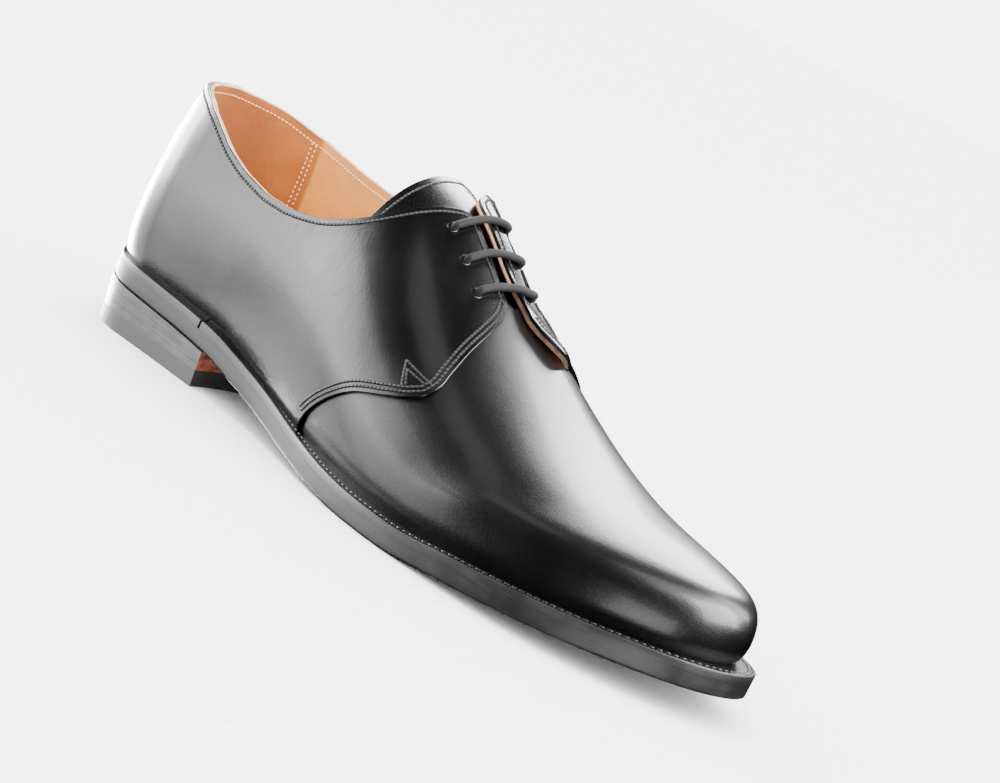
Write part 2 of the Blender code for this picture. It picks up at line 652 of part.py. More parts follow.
def build_lace_bar(number, station, finish):
    """One bar of the lace, lying across both facings."""
    piece = Skin()
    turn = np.linspace(EYELET_ANGLE[RIGHT] - 1.0, 181.0 - EYELET_ANGLE[LEFT], LACE_RINGS)
    lift = flare(LEFT, np.minimum(180 - turn, WALL_TOP[LEFT]), np.full_like(turn, station))
    depth = QUARTER_WALL + GAP + LACE_RADIUS + lift * smooth(WALL_TOP[RIGHT], 180 - WALL_TOP[LEFT], turn)
    centres = skin(RIGHT, station, np.radians(turn), depth)
    along = np.gradient(centres, axis=0)
    along /= np.linalg.norm(along, axis=1, keepdims=True)
    turns = np.arange(LACE_SIDES) / LACE_SIDES * 2 * math.pi
    rings = []
    ends = ((0, -LACE_RADIUS * 0.75, 0.55), (0, -LACE_RADIUS * 0.35, 0.9))
    spots = [*ends, *((i, 0.0, 1.0) for i in range(len(centres)))]
    last = len(centres) - 1
    spots += [(last, -shift, scale) for _, shift, scale in reversed(ends)]
    for index, shift, scale in spots:
        side_way = np.cross(along[index], (1.0, 0.0, 0.0))
        side_way /= np.linalg.norm(side_way)
        other = np.cross(along[index], side_way)
        middle = centres[index] + along[index] * shift
        circle = np.cos(turns)[:, None] * side_way + np.sin(turns)[:, None] * other
        rings.append(piece.row(middle + circle * LACE_RADIUS * scale))
    for first, second in zip(rings, rings[1:]):
        piece.strip(first, second, closed=True)
    piece.faces += [tuple(rings[0]), tuple(reversed(rings[-1]))]
    return add_object(f"lace_bar_{number}", piece.vertices, piece.faces, finish)


def main():
    for old in list(bpy.data.objects):
        bpy.data.objects.remove(old, do_unlink=True)
    black_calf = material("black calf", (0.012, 0.012, 0.013), 0.25)
    tan_leather = material("tan leather", (0.50, 0.22, 0.08), 0.55)
    edge_ink = material("inked sole edge", (0.03, 0.03, 0.032), 0.35)
    heel_ink = material("inked heel stack", (0.05, 0.05, 0.05), 0.35)
    heel_rubber = material("heel rubber", (0.02, 0.02, 0.02), 0.6)
    cotton = material("waxed cotton", (0.02, 0.02, 0.022), 0.7)
    build_outsole(edge_ink)
    build_welt(edge_ink)
    build_rand(edge_ink)
    build_heel(heel_ink, heel_rubber)
    build_insole(tan_leather)
    build_upper(black_calf)
    build_tongue(black_calf)
    for number, station in enumerate(EYELET_STATIONS, 1):
        build_lace_bar(number, station, cotton)


main()
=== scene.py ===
import math

import bmesh
import bpy
import numpy as np
from mathutils import Matrix, Vector


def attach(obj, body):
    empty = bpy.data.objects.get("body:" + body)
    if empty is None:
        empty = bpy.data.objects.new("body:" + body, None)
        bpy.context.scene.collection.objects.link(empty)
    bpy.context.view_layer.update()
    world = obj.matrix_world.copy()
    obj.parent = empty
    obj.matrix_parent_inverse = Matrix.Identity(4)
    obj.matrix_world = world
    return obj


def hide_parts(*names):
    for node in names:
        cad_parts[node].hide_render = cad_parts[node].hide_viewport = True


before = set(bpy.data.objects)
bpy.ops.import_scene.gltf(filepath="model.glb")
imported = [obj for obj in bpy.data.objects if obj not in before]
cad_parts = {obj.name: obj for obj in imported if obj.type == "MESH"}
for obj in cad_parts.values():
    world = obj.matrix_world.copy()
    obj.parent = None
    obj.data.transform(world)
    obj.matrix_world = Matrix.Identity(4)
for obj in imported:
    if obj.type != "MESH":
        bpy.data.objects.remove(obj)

bl_info = {
    "name": "Derby shoe dressing",
    "version": (1, 0, 0),
    "blender": (4, 5, 0),
    "location": "3D View > Sidebar > Shoe",
    "description": "Leather, stitching, edges and lining for one derby shoe",
    "category": "Object",
}

# Lengths below are in millimetres and become metres when a mesh is made. The outer side is at -Y.
MM = 0.001
RIGHT, LEFT = -1, 1
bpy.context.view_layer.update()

# The last: x, right, left, tuck right, tuck left, crown, shift, square.
SECTIONS = np.array((
    (-36, 31.0, 31.0, 4.0, 4.0, 128.0, 0.0, 2.1), (0, 31.4, 31.4, 4.0, 4.0, 126.0, 0.0, 2.1),
    (36, 33.5, 33.5, 6.0, 8.0, 117.0, 1.0, 2.2), (72, 38.0, 36.5, 8.0, 15.0, 107.0, 2.5, 2.0),
    (100, 43.0, 38.5, 7.0, 14.0, 97.0, 4.0, 2.0), (128, 47.5, 41.0, 5.0, 8.0, 78.0, 5.0, 2.0),
    (156, 50.0, 45.0, 4.0, 4.5, 61.5, 5.5, 2.0), (184, 48.5, 45.0, 4.0, 4.0, 49.5, 5.0, 2.0),
    (212, 43.5, 41.0, 4.0, 4.0, 43.0, 4.0, 2.0), (240, 35.0, 35.0, 4.0, 4.0, 41.0, 3.0, 2.0),
    (264, 28.0, 28.0, 4.0, 4.0, 38.0, 3.0, 2.0)))
SHOULDER, HEEL_FAN, FAN_END = 3.0, 0.96, 0.16
CAP_START, CAP_X, TOE_X = 0.80, 205.0, 262.0
CAP_LENGTH, CAP_WIDTH, CAP_HEIGHT = 2.6, 2.2, 5.0
TUCK_BASE, TUCK_SHARE, TOE_STEEP = 5.0, 0.7, 0.5
# Tread over the floor: x, height.
TREAD = ((-40, 18.1), (0, 15.5), (44, 12.8), (60, 10.2), (82, 6.6), (105, 2.9), (130, 0.5), (145, 0.0),
         (165, 0.0), (190, 2.2), (215, 4.4), (245, 7.2), (272, 10.0))
# Width of the sole outside the upper, for each x.
EDGE_X = (-40, 20, 45, 80, 105, 130, 152, 176, 200, 230, 272)
SOLE_EDGE = {RIGHT: (2.2, 2.6, 3.4, 3.8, 4.6, 6.2, 7.4, 8.0, 8.4, 8.6, 8.6),
             LEFT: (2.2, 2.6, 3.2, 3.4, 4.4, 6.0, 7.6, 8.2, 8.4, 8.6, 8.6)}
# Top edge of the quarter: station, degrees.
OPENING = {
    RIGHT: ((0.0, 32.5), (0.08, 31.5), (0.13, 29.5), (0.155, 27.2), (0.18, 25.0), (0.21, 22.9), (0.245, 22.0),
            (0.275, 22.1), (0.313, 23.6), (0.348, 26.6), (0.373, 29.6), (0.397, 34.0), (0.418, 39.5),
            (0.437, 47.6), (0.451, 57.4), (0.462, 67.5), (0.472, 75.5), (0.486, 78.0), (1.0, 78.0)),
    LEFT: ((0.0, 32.5), (0.08, 31.5), (0.13, 29.8), (0.17, 29.0), (0.21, 29.2), (0.257, 30.3), (0.30, 32.0),
           (0.345, 35.0), (0.385, 41.0), (0.408, 49.0), (0.423, 60.0), (0.435, 74.0), (0.446, 87.0),
           (0.456, 93.5), (0.467, 95.0), (1.0, 95.0))}
# Front edge of the quarter: degrees, station.
LOWER_LINE = ((0.0, 0.478), (2.5, 0.495), (6.2, 0.516), (11.5, 0.543), (19.0, 0.584), (25.0, 0.608),
              (31.0, 0.621))
FRONT = {
    RIGHT: LOWER_LINE + ((36.0, 0.623), (43.0, 0.617), (53.0, 0.606), (64.0, 0.594), (73.0, 0.581),
                         (78.0, 0.567)),
    LEFT: LOWER_LINE + ((37.0, 0.619), (45.0, 0.615), (55.0, 0.613), (66.0, 0.614), (76.0, 0.618),
                        (84.0, 0.619), (89.0, 0.611), (92.0, 0.599), (95.0, 0.582))}
WALL_TOP = {RIGHT: 78.0, LEFT: 95.0}
VAMP_WALL, HEEL_WALL, QUARTER_WALL = 2.0, 2.4, 3.2
FLARE, FLARE_RUN, FACING_SUNK = 3.6, 0.06, 2.0
OUTSOLE_THICK, WELT_THICK, GAP = 5.5, 3.0, 0.3
FEATHER_HEIGHT = OUTSOLE_THICK + WELT_THICK
TONGUE_TOP, TONGUE_FOOT, TONGUE_LOW, TONGUE_LOW_FOOT = 0.411, 0.600, 40.0, 52.0
TONGUE_DROP, TONGUE_THICK, TONGUE_ROUND, TONGUE_FAR_DROP = 1.0, 1.8, 0.035, 0.9
TONGUE_LEATHER, TONGUE_ROW = 1.0, 0.0095
BREAST_X, BREAST_HOLLOW, NOTCH_X, NOTCH_WIDTH = 43.0, 5.0, 36.0, 1.0
TOP_PIECE_THICK, LIFTS, HEEL_TAPER, HEEL_TAPER_BACK = 6.0, 3, 1.6, 3.0
EYELET_STATIONS = (0.484, 0.518, 0.551)
EYELET_ANGLE = {RIGHT: 65.5, LEFT: 82.0}
EYELET_BORE = 1.7
VAMP_TUCKED, THROAT_TUCKED, THROAT_ANGLE = 0.022, 0.008, 81.5
RIDGE, RIDGE_HEIGHT, RIDGE_SOFT = 1.8, 17.0, 5.0
TACK = (((0.5931, 25.0), (0.576, 30.6), (0.6154, 33.75)), ((0.5957, 26.3), (0.5839, 29.4), (0.6101, 31.9)))
LINING_SEAM, LINING_SEAM_X, LINING_SEAM_SOFT, LINING_POCKET = 0.143, -2.5, 0.8, 0.4
LINING_OVER, LINING_SHORT, LINING_END = 0.12, 0.036, 0.46
HEM, LAYER_GAP, THIN_GAP = 1.5, 0.05, 0.03
VAMP_LINING_TOP, VAMP_LEATHER_FLOOR = 0.7, 0.75
BACKING_ROWS = (0.15, 1.5, 3.0, 5.0, 7.0)
BACKING_START, BACKING_LOW = {RIGHT: 0.465, LEFT: 0.44}, {RIGHT: 70.0, LEFT: 42.0}
BACKING_THICK = {RIGHT: 1.0, LEFT: 1.5}
STRIP_HALF, STRIP_NARROWER, STRIP_DROP = 0.0155, 0.0045, 7.2
STRIP_BELOW_EDGE, STRIP_PROUD, STRIP_SUNK = 0.1, 1.0, 0.2
WELT_FOOT, RAND_PROUD, SOCK_BASE, SOCK_INSIDE = 1.2, 0.15, 2.5, 0.7
BARE_FROM, BARE_FULL = 6.5, 6.0
LACE_SIDES, LACE_RINGS, LACE_SINK, LACE_SINK_RUN, LACE_SLIP = 24, 220, 3.8, 2.3, 0.0012
WEAVE_STRANDS, WEAVE_TURN, WEAVE_RELIEF = 5, 3.6, 0.08
RING_WIDER, RING_THICK, RING_SUNK = 0.1, 0.34, 0.14
TOP_ROW, FRONT_ROWS, LINING_ROW, SEAM_ROWS = 2.3, (1.9, 3.6), 3.0, (0.0015, 0.0085)
TOP_ROW_END, ROW_LIFT = 0.009, 0.05
WELT_ROW, RIB_ROW, RIB_PITCH, RIB_SUNK = 2.6, 0.95, 1.25, 0.08

# The photograph's camera: angles in degrees, distance in millimetres, focal length in pixels.
CAMERA_TARGET = (115.0, 0.0, 45.0)
CAMERA_AZIMUTH, CAMERA_ELEVATION, CAMERA_ROLL = 37.2, 9.3, 26.3
CAMERA_DISTANCE, CAMERA_FOCAL, CAMERA_SLIDE = 1028.0, 3093.0, (19.3, -5.1)
PICTURE_WIDTH = 1000.0
SENSOR = 36.0
# Softboxes seen as gloss: name, azimuth from -Y, elevation, distance and width in metres, radiance.
PANELS = (
    ("left", -85, 10, 1.5, 0.8, 30.0),
    ("left_low", -110, -15, 1.5, 0.8, 60.0),
    ("back_left", -150, 40, 1.5, 0.8, 25.0),
    ("front_left", -60, 10, 1.5, 0.8, 6.0),
    ("side", -70, 20, 0.7, 0.4, 10.0),
    ("side_low", -40, 5, 0.7, 0.4, 2.0),
    ("floor_left", -75, -15, 1.5, 0.8, 4.0),
    ("floor_front", -40, -15, 1.5, 0.8, 4.0),
    ("floor_right", 50, -15, 1.5, 0.8, 5.0),
    ("toe", 100, 30, 0.6, 0.4, 20.0),
    ("toe_high", 130, 40, 0.6, 0.4, 10.0),
    ("toe_front", 75, 50, 0.6, 0.4, 3.0),
    ("vamp_fill", 0, 60, 0.25, 0.1, 1.0))
PANEL_TARGET = (0.115, 0.0, 0.04)
KEY_PLACE, KEY_WIDTH, KEY_RADIANCE = (-0.45, -0.45, 1.6), 0.7, 9.0
WORLD_STRENGTH = 6.0
FLOOR_RADII = (0.0, 0.5, 1.5, 4.0, 9.0)


def spline(xs, ys):
    """Natural cubic spline through the points of a table."""
    xs, ys = np.asarray(xs, float), np.asarray(ys, float)
    count, step = len(xs), np.diff(xs)
    matrix, right_side = np.eye(count), np.zeros(count)
    for i in range(1, count - 1):
        matrix[i, i - 1:i + 2] = step[i - 1], 2 * (step[i - 1] + step[i]), step[i]
        right_side[i] = 6 * ((ys[i + 1] - ys[i]) / step[i] - (ys[i] - ys[i - 1]) / step[i - 1])
    bend = np.linalg.solve(matrix, right_side)

    def value(x):
        x = np.asarray(x, float)
        i = np.clip(np.searchsorted(xs, x) - 1, 0, count - 2)
        u = x - xs[i]
        slope = (ys[i + 1] - ys[i]) / step[i] - step[i] * (2 * bend[i] + bend[i + 1]) / 6
        return ys[i] + u * slope + u * u * bend[i] / 2 + u ** 3 * (bend[i + 1] - bend[i]) / (6 * step[i])
    return value


def fair_line(xs, ys):
    """Curve through the points of a table that never swings past them."""
    xs, ys = np.asarray(xs, float), np.asarray(ys, float)
    step = np.diff(xs)
    rise = np.diff(ys) / step
    slope = np.zeros(len(xs))
    slope[0], slope[-1] = rise[0], rise[-1]
    for i in range(1, len(xs) - 1):
        if rise[i - 1] * rise[i] > 0:
            a, b = 2 * step[i] + step[i - 1], step[i] + 2 * step[i - 1]
            slope[i] = (a + b) / (a / rise[i - 1] + b / rise[i])

    def value(x):
        x = np.clip(np.asarray(x, float), xs[0], xs[-1])
        i = np.clip(np.searchsorted(xs, x) - 1, 0, len(xs) - 2)
        u = (x - xs[i]) / step[i]
        ends = ys[i] * (1 + 2 * u) * (1 - u) ** 2 + ys[i + 1] * u * u * (3 - 2 * u)
        return ends + step[i] * (slope[i] * u * (1 - u) ** 2 - slope[i + 1] * u * u * (1 - u))
    return value


LAST = {name: spline(SECTIONS[:, 0], SECTIONS[:, i + 1]) for i, name in enumerate(
    ("right", "left", "tuck_right", "tuck_left", "crown", "shift", "square"))}
tread = fair_line(*zip(*TREAD))
sole_edge = {side: fair_line(EDGE_X, SOLE_EDGE[side]) for side in (RIGHT, LEFT)}
opening_angle = {side: fair_line(*zip(*OPENING[side])) for side in (RIGHT, LEFT)}
quarter_front = {side: fair_line(*zip(*FRONT[side])) for side in (RIGHT, LEFT)}


def smooth(low, high, x):
    """Soft step from 0 at low to 1 at high."""
    u = np.clip((np.asarray(x, float) - low) / (high - low), 0, 1)
    return u * u * (3 - 2 * u)


def station_of(x):
    """Station of a section that lies at x, for the straight part of the last."""
    return FAN_END + x / CAP_X * (CAP_START - FAN_END)


def open_section(side, station, angle):
    """Place on the last before the sides are tucked in, with its section's x and height."""
    station, angle = np.broadcast_arrays(np.asarray(station, float), np.asarray(angle, float))
    turn = np.clip(1 - station / FAN_END, 0, 1) * math.pi / 2
    body = np.clip((station - FAN_END) / (CAP_START - FAN_END), 0, 1) * CAP_X
    cap = np.clip((station - CAP_START) / (1 - CAP_START), 0, 1) * math.pi / 2
    x = np.where(station < CAP_START, body, CAP_X + (TOE_X - CAP_X) * np.sin(cap) ** (2 / CAP_LENGTH))
    closing = np.maximum(np.cos(cap), 0)
    ridge = LAST["shift"](x)
    half = LAST["right"](x) + ridge if side == RIGHT else LAST["left"](x) - ridge
    half = half * closing ** (2 / CAP_WIDTH)
    foot = tread(x) + FEATHER_HEIGHT
    rise = (LAST["crown"](x) - foot) * closing ** (2 / CAP_HEIGHT)
    up = rise * np.sin(angle) ** (2 / SHOULDER)
    out = half * np.maximum(np.cos(angle), 0) ** (2 / LAST["square"](x))
    return x - HEEL_FAN * out * np.sin(turn), ridge + side * out * np.cos(turn), foot, up, x


def plan_normal(side, station):
    """Level direction that points out of the feather edge."""
    step = 1e-4
    a = open_section(side, np.clip(np.asarray(station) - step, 0, 1), 0.0)
    b = open_section(side, np.clip(np.asarray(station) + step, 0, 1), 0.0)
    dx, dy = b[0] - a[0], b[1] - a[1]
    normal = np.stack([-side * dy, side * dx], -1)
    return normal / np.maximum(np.linalg.norm(normal, axis=-1, keepdims=True), 1e-12)


def last_point(side, station, angle):
    """Point of the last's surface."""
    x, y, foot, up, row = open_section(side, station, angle)
    normal = plan_normal(side, station)
    tuck = LAST["tuck_right"](row) if side == RIGHT else LAST["tuck_left"](row)
    reach = (TUCK_BASE + TUCK_SHARE * tuck) * (1 - TOE_STEEP * smooth(0.66, 0.88, station))
    pull = tuck * np.exp(-up / reach)
    return np.stack([x - normal[..., 0] * pull, y - normal[..., 1] * pull, foot + up], -1)


def side_skin(side, station, angle, depth):
    """Point at a depth over one side of the last, along the surface's normal."""
    step = 1e-3
    s = np.clip(station, 2 * step, 1 - 2 * step)
    a = np.clip(angle, 2 * step, math.pi / 2 - 2 * step)
    along = last_point(side, s + step, a) - last_point(side, s - step, a)
    up = last_point(side, s, a + step) - last_point(side, s, a - step)
    normal = -side * np.cross(along, up)
    normal /= np.maximum(np.linalg.norm(normal, axis=-1, keepdims=True), 1e-12)
    point = last_point(side, station, angle) + normal * depth[..., None]
    point[..., 1] = np.where(station <= 0, LAST["shift"](0.0), point[..., 1])
    tip = np.stack([TOE_X - LAST["tuck_right"](TOE_X) + depth, np.full_like(depth, LAST["shift"](TOE_X)),
                    np.full_like(depth, tread(TOE_X) + FEATHER_HEIGHT)], -1)
    return np.where((station >= 1)[..., None], tip, point)


def skin(side, station, degrees, depth):
    """Point at a depth over the last. Past a right angle it lies over the ridge, on the other side."""
    station, angle, depth = np.broadcast_arrays(*(np.asarray(v, float) for v in (station, degrees, depth)))
    angle = np.radians(angle)
    near = side_skin(side, station, np.minimum(angle, math.pi / 2), depth)
    over = side_skin(-side, station, math.pi - np.maximum(angle, math.pi / 2), depth)
    return np.where((angle > math.pi / 2)[..., None], over, near)


def skin_normal(side, station, degrees, depth=2.0):
    """Direction out of the surface."""
    normal = skin(side, station, degrees, np.asarray(depth) + 1.0) - skin(side, station, degrees, depth)
    return normal / np.maximum(np.linalg.norm(normal, axis=-1, keepdims=True), 1e-9)


def rim(side, station, out, height):
    """Point beside the feather edge, a distance out of it and a height over the tread."""
    station = np.asarray(station, float)
    edge, normal = last_point(side, station, 0.0), plan_normal(side, station)
    x = edge[..., 0] + normal[..., 0] * out
    y = edge[..., 1] + normal[..., 1] * out
    y = np.where((station <= 0) | (station >= 1), LAST["shift"](np.where(station <= 0, 0.0, TOE_X)), y)
    return np.stack([x, y, tread(x) + height], -1)


def sole_rim(side, station, height, out=0.0):
    """Point on the outline of the sole."""
    feather = last_point(side, station, 0.0)
    return rim(side, station, VAMP_WALL + sole_edge[side](feather[..., 0]) + out, height)


def cap_station(degrees):
    """Station of a row of the toe cap."""
    return CAP_START + (1 - CAP_START) * degrees / 90


def quarter_depth(side, station, degrees):
    """Height of the quarter's outer face over the last, with the flare of the inner facing."""
    station, degrees = np.broadcast_arrays(np.asarray(station, float), np.asarray(degrees, float))
    wall = HEEL_WALL + (QUARTER_WALL - HEEL_WALL) * smooth(0.2, 0.42, station)
    if side == RIGHT:
        return wall
    near_edge = smooth(-FLARE_RUN, 0.0, station - quarter_front[side](degrees))
    high = smooth(68.0, 86.0, degrees) * (1 - 0.35 * smooth(88.0, 95.0, degrees))
    sunk = smooth(48.0, 64.0, degrees) * (1 - smooth(76.0, 88.0, degrees))
    sunk = sunk * smooth(0.44, 0.48, station) * (1 - smooth(0.535, 0.575, station))
    return wall + FLARE * near_edge * high - FACING_SUNK * sunk


def shoulder(stations, degrees):
    """Fullness of the vamp along the line where its side turns into its top."""
    ups = [open_section(side, stations, np.radians(angle))[3] for side, angle in (
        (RIGHT, np.minimum(degrees, 90.0)), (LEFT, np.minimum(180.0 - degrees, 90.0)))]
    up = np.where(degrees > 90.0, ups[1], ups[0])
    return RIDGE * np.exp(-((up - RIDGE_HEIGHT) / RIDGE_SOFT) ** 2) * smooth(0.65, 0.75, stations)


def rows_to_toe(low, count):
    """Stations from one place to the tip of the toe, close together round the cap."""
    body = np.linspace(low, CAP_START, count)[:-1]
    turn = 90 * np.sin(np.radians(np.linspace(0, 90, 30)))
    return np.concatenate([body, cap_station(turn)])


class Piece:
    """Vertices and faces of one piece while it is put together, in millimetres."""

    def __init__(self):
        self.vertices, self.faces, self.kinds = [], [], []

    def grid(self, points, kind=0):
        """Faces over a grid of points."""
        rows, columns = points.shape[:2]
        start = len(self.vertices)
        self.vertices.extend(map(tuple, points.reshape(-1, 3)))
        for i in range(rows - 1):
            for j in range(columns - 1):
                a = start + i * columns + j
                self.faces.append((a, a + 1, a + columns + 1, a + columns))
                self.kinds.append(kind)

    def make(self, name, finishes, sharp=40.0, bevel=0.0):
        """Closed mesh, its faces turned out, as an object at the origin."""
        mesh = bpy.data.meshes.new(name)
        mesh.from_pydata([tuple(c * MM for c in v) for v in self.vertices], [], self.faces)
        for finish in finishes:
            mesh.materials.append(finish)
        mesh.polygons.foreach_set("material_index", self.kinds)
        work = bmesh.new()
        work.from_mesh(mesh)
        bmesh.ops.remove_doubles(work, verts=work.verts, dist=0.000004)
        bmesh.ops.dissolve_degenerate(work, edges=work.edges, dist=0.0000005)
        bmesh.ops.recalc_face_normals(work, faces=work.faces)
        work.to_mesh(mesh)
        work.free()
        mesh.shade_smooth()
        mesh.set_sharp_from_angle(angle=math.radians(sharp))
        made = bpy.data.objects.new(name, mesh)
        bpy.context.scene.collection.objects.link(made)
        if bevel:
            round_edges = made.modifiers.new("round edges", "BEVEL")
            round_edges.width = bevel * MM
            round_edges.segments = 2
            round_edges.limit_method = "ANGLE"
            round_edges.angle_limit = math.radians(45)
        return made

    def shell(self, outer, inner, kinds=(0, 0, 0)):
        """Closed sheet between two grids. The kinds are those of its outer face, inner face and edges."""
        self.grid(outer, kinds[0])
        self.grid(inner, kinds[1])
        for a, b in ((outer[0], inner[0]), (outer[-1], inner[-1]), (outer[:, 0], inner[:, 0]),
                     (outer[:, -1], inner[:, -1])):
            self.grid(np.stack([a, b]), kinds[2])

    def tube(self, sections):
        """Tube with two end faces, through sections of points that are each closed on themselves."""
        self.grid(np.concatenate([sections, sections[:, :1]], 1))
        for end in (sections[0], sections[-1]):
            start = len(self.vertices)
            self.vertices.extend(map(tuple, end))
            self.faces.append(tuple(range(start, start + len(end))))
            self.kinds.append(0)


class Socket:
    """One output of a shader, with sums written as Python expressions."""

    def __init__(self, finish, socket):
        self.finish, self.socket = finish, socket

    def maths(self, operation, first, second=None):
        return self.finish.add("ShaderNodeMath", {"operation": operation}, {0: first, 1: second}).out(0)

    def __add__(self, other):
        return self.maths("ADD", self, other)

    def __sub__(self, other):
        return self.maths("SUBTRACT", self, other)

    def __rsub__(self, other):
        return self.maths("SUBTRACT", other, self)

    def __mul__(self, other):
        return self.maths("MULTIPLY", self, other)

    __radd__, __rmul__ = __add__, __mul__

    def step(self, low, high):
        """Soft step of this value from 0 at low to 1 at high."""
        return self.finish.add("ShaderNodeMapRange", {"interpolation_type": "SMOOTHSTEP"},
                               {"Value": self, "From Min": low, "From Max": high}).out(0)


class Node:
    """A shader node that has been set up."""

    def __init__(self, finish, node):
        self.finish, self.node = finish, node

    def out(self, name):
        return Socket(self.finish, self.node.outputs[name])


class Finish:
    """One procedural material."""

    def __init__(self, name, roughness, metallic=0.0, **constants):
        self.material = bpy.data.materials.new(name)
        self.material.use_nodes = True
        self.tree = self.material.node_tree
        self.shader = self.tree.nodes["Principled BSDF"]
        for socket, value in {"Roughness": roughness, "Metallic": metallic, **constants}.items():
            self.shader.inputs[socket].default_value = value
        self.place = self.add("ShaderNodeTexCoord").out("Object")

    def add(self, kind, settings=None, values=None):
        """Any node: its type, then its settings, then the values and links of its sockets."""
        node = self.tree.nodes.new(kind)
        for name, value in (settings or {}).items():
            setattr(node, name, value)
        for name, value in (values or {}).items():
            if value is not None:
                self.feed(node.inputs[name], value)
        return Node(self, node)

    def feed(self, target, value):
        if isinstance(value, Socket):
            self.tree.links.new(value.socket, target)
        else:
            target.default_value = value

    def noise(self, size, detail=2.0, place=None, roughness=0.5):
        """Soft noise whose marks are about a size in millimetres."""
        return self.add("ShaderNodeTexNoise", {}, {"Vector": place or self.place, "Scale": 1 / (size * MM),
                                                   "Detail": detail, "Roughness": roughness}).out(0)

    def cells(self, size):
        """Distance to the middle of cells of a size in millimetres."""
        return self.add("ShaderNodeTexVoronoi", {"feature": "SMOOTH_F1"},
                        {"Vector": self.place, "Scale": 1 / (size * MM)}).out("Distance")

    def stretched(self, scale):
        """Object coordinates, stretched along the axes."""
        return self.add("ShaderNodeMapping", {}, {"Vector": self.place, "Scale": scale}).out(0)

    def axis(self, name):
        return self.add("ShaderNodeSeparateXYZ", {}, {0: self.place}).out(name)

    def mix(self, factor, first, second):
        return self.add("ShaderNodeMix", {"data_type": "RGBA"}, {0: factor, 6: first, 7: second}).out(2)

    def set(self, **inputs):
        for name, value in inputs.items():
            self.feed(self.shader.inputs[name.replace("_", " ")], value)

    def bump(self, height, distance):
        """Relief of a distance in millimetres."""
        self.set(Normal=self.add("ShaderNodeBump", {}, {"Height": height, "Distance": distance * MM,
                                                        "Strength": 1.0}).out("Normal"))


def tone(color, factor):
    """A colour made lighter or darker."""
    return (*(c * factor for c in color[:3]), 1.0)


def deeper(color, factor):
    """A warm colour made darker and redder."""
    return (color[0] * factor, color[1] * factor ** 1.6, color[2] * factor ** 2.2, 1.0)


def calf_finish(name, color, roughness, grain):
    """Polished black calf: fine grain, soft wax streaks and a thin coat."""
    made = Finish(name, roughness, **{"Coat Roughness": 0.12, "Specular IOR Level": 0.55})
    pores, cells, streaks = made.noise(0.45, 3.0), made.cells(0.7), made.noise(22.0, 3.0)
    made.set(Base_Color=made.mix(streaks.step(0.35, 0.7), tone(color, 0.8), tone(color, 1.35)))
    made.set(Roughness=roughness + (streaks - 0.5) * 0.10 + (pores - 0.5) * 0.06)
    made.set(Coat_Weight=0.2 + (streaks - 0.5) * 0.2)
    made.bump(cells * 0.5 + pores * 0.5 + made.noise(6.0, 2.0) * 0.9, grain)
    return made.material


def lining_finish(name, color):
    """Vegetable tanned lining: warm tan with pores and small wrinkles, darker in the heel pocket."""
    roughness = 0.55
    made = Finish(name, roughness, **{"Specular IOR Level": 0.4})
    pores, cloud = made.noise(0.5, 4.0), made.noise(16.0, 3.0)
    heel_pocket = made.axis("X").step((LINING_SEAM_X + LINING_SEAM_SOFT) * MM,
                                      (LINING_SEAM_X - LINING_SEAM_SOFT) * MM)
    shade = (cloud * 0.75 + pores * 0.25).step(0.3, 0.75)
    front = made.mix(shade, tone(color, 0.85), tone(color, 1.12))
    back = made.mix(shade, deeper(color, 0.45), deeper(color, 0.68))
    made.set(Base_Color=made.mix(heel_pocket, front, back))
    made.set(Roughness=roughness + (pores - 0.5) * 0.15)
    made.bump(pores + made.noise(3.0, 3.0) * 1.5, 0.07)
    return made.material


def raw_finish(name, color):
    """Cut edge of leather: short fibres, partly inked."""
    made = Finish(name, 0.85)
    fibres = made.noise(0.35, 4.0, roughness=0.7)
    made.set(Base_Color=made.mix((fibres * 0.7 + made.noise(3.0) * 0.3).step(0.4, 0.62), tone(color, 0.35),
                                 tone(color, 1.25)))
    made.bump(fibres, 0.2)
    return made.material


def ink_finish(name, color, roughness, line, coat=0.0):
    """Inked and burnished leather edge, with faint lines along it."""
    made = Finish(name, roughness, **{"Coat Weight": coat, "Coat Roughness": 0.2})
    lines = made.noise(1.0, 3.0, made.stretched((0.05, 0.05, 1 / line)))
    rub = made.noise(9.0, 4.0)
    specks = made.noise(0.4, 2.0)
    shade = (rub * 0.6 + lines * 0.4).step(0.35, 0.7)
    made.set(Base_Color=made.mix(shade, tone(color, 0.7), tone(color, 1.5)))
    made.set(Roughness=roughness + (rub - 0.5) * 0.22 + (specks - 0.5) * 0.08)
    made.bump(lines * 0.6 + specks * 0.4, 0.06)
    return made.material


def heel_finish(name, color, bare, breast):
    """Burnished heel stack with its breast left reddish under the waist."""
    made = Finish(name, 0.34, **{"Coat Weight": 0.15, "Coat Roughness": 0.2})
    lines = made.noise(1.0, 3.0, made.stretched((0.05, 0.05, 1.3)))
    rub = made.noise(7.0, 4.0)
    inked = made.mix((rub * 0.5 + lines * 0.5).step(0.38, 0.66), tone(color, 0.7), tone(color, 1.5))
    front = made.axis("X").step((breast - BARE_FROM) * MM, (breast - BARE_FULL) * MM)
    facing = made.add("ShaderNodeNewGeometry").out("True Normal")
    turned = made.add("ShaderNodeSeparateXYZ", {}, {0: facing}).out("X").step(0.75, 0.85)
    red = made.mix(made.noise(1.0, 4.0, made.stretched((0.6, 0.15, 0.8))).step(0.35, 0.65), tone(bare, 0.45),
                   tone(bare, 1.3))
    made.set(Base_Color=made.mix(front * turned, inked, red))
    made.set(Roughness=0.34 + (rub - 0.5) * 0.2)
    made.bump(lines, 0.05)
    return made.material


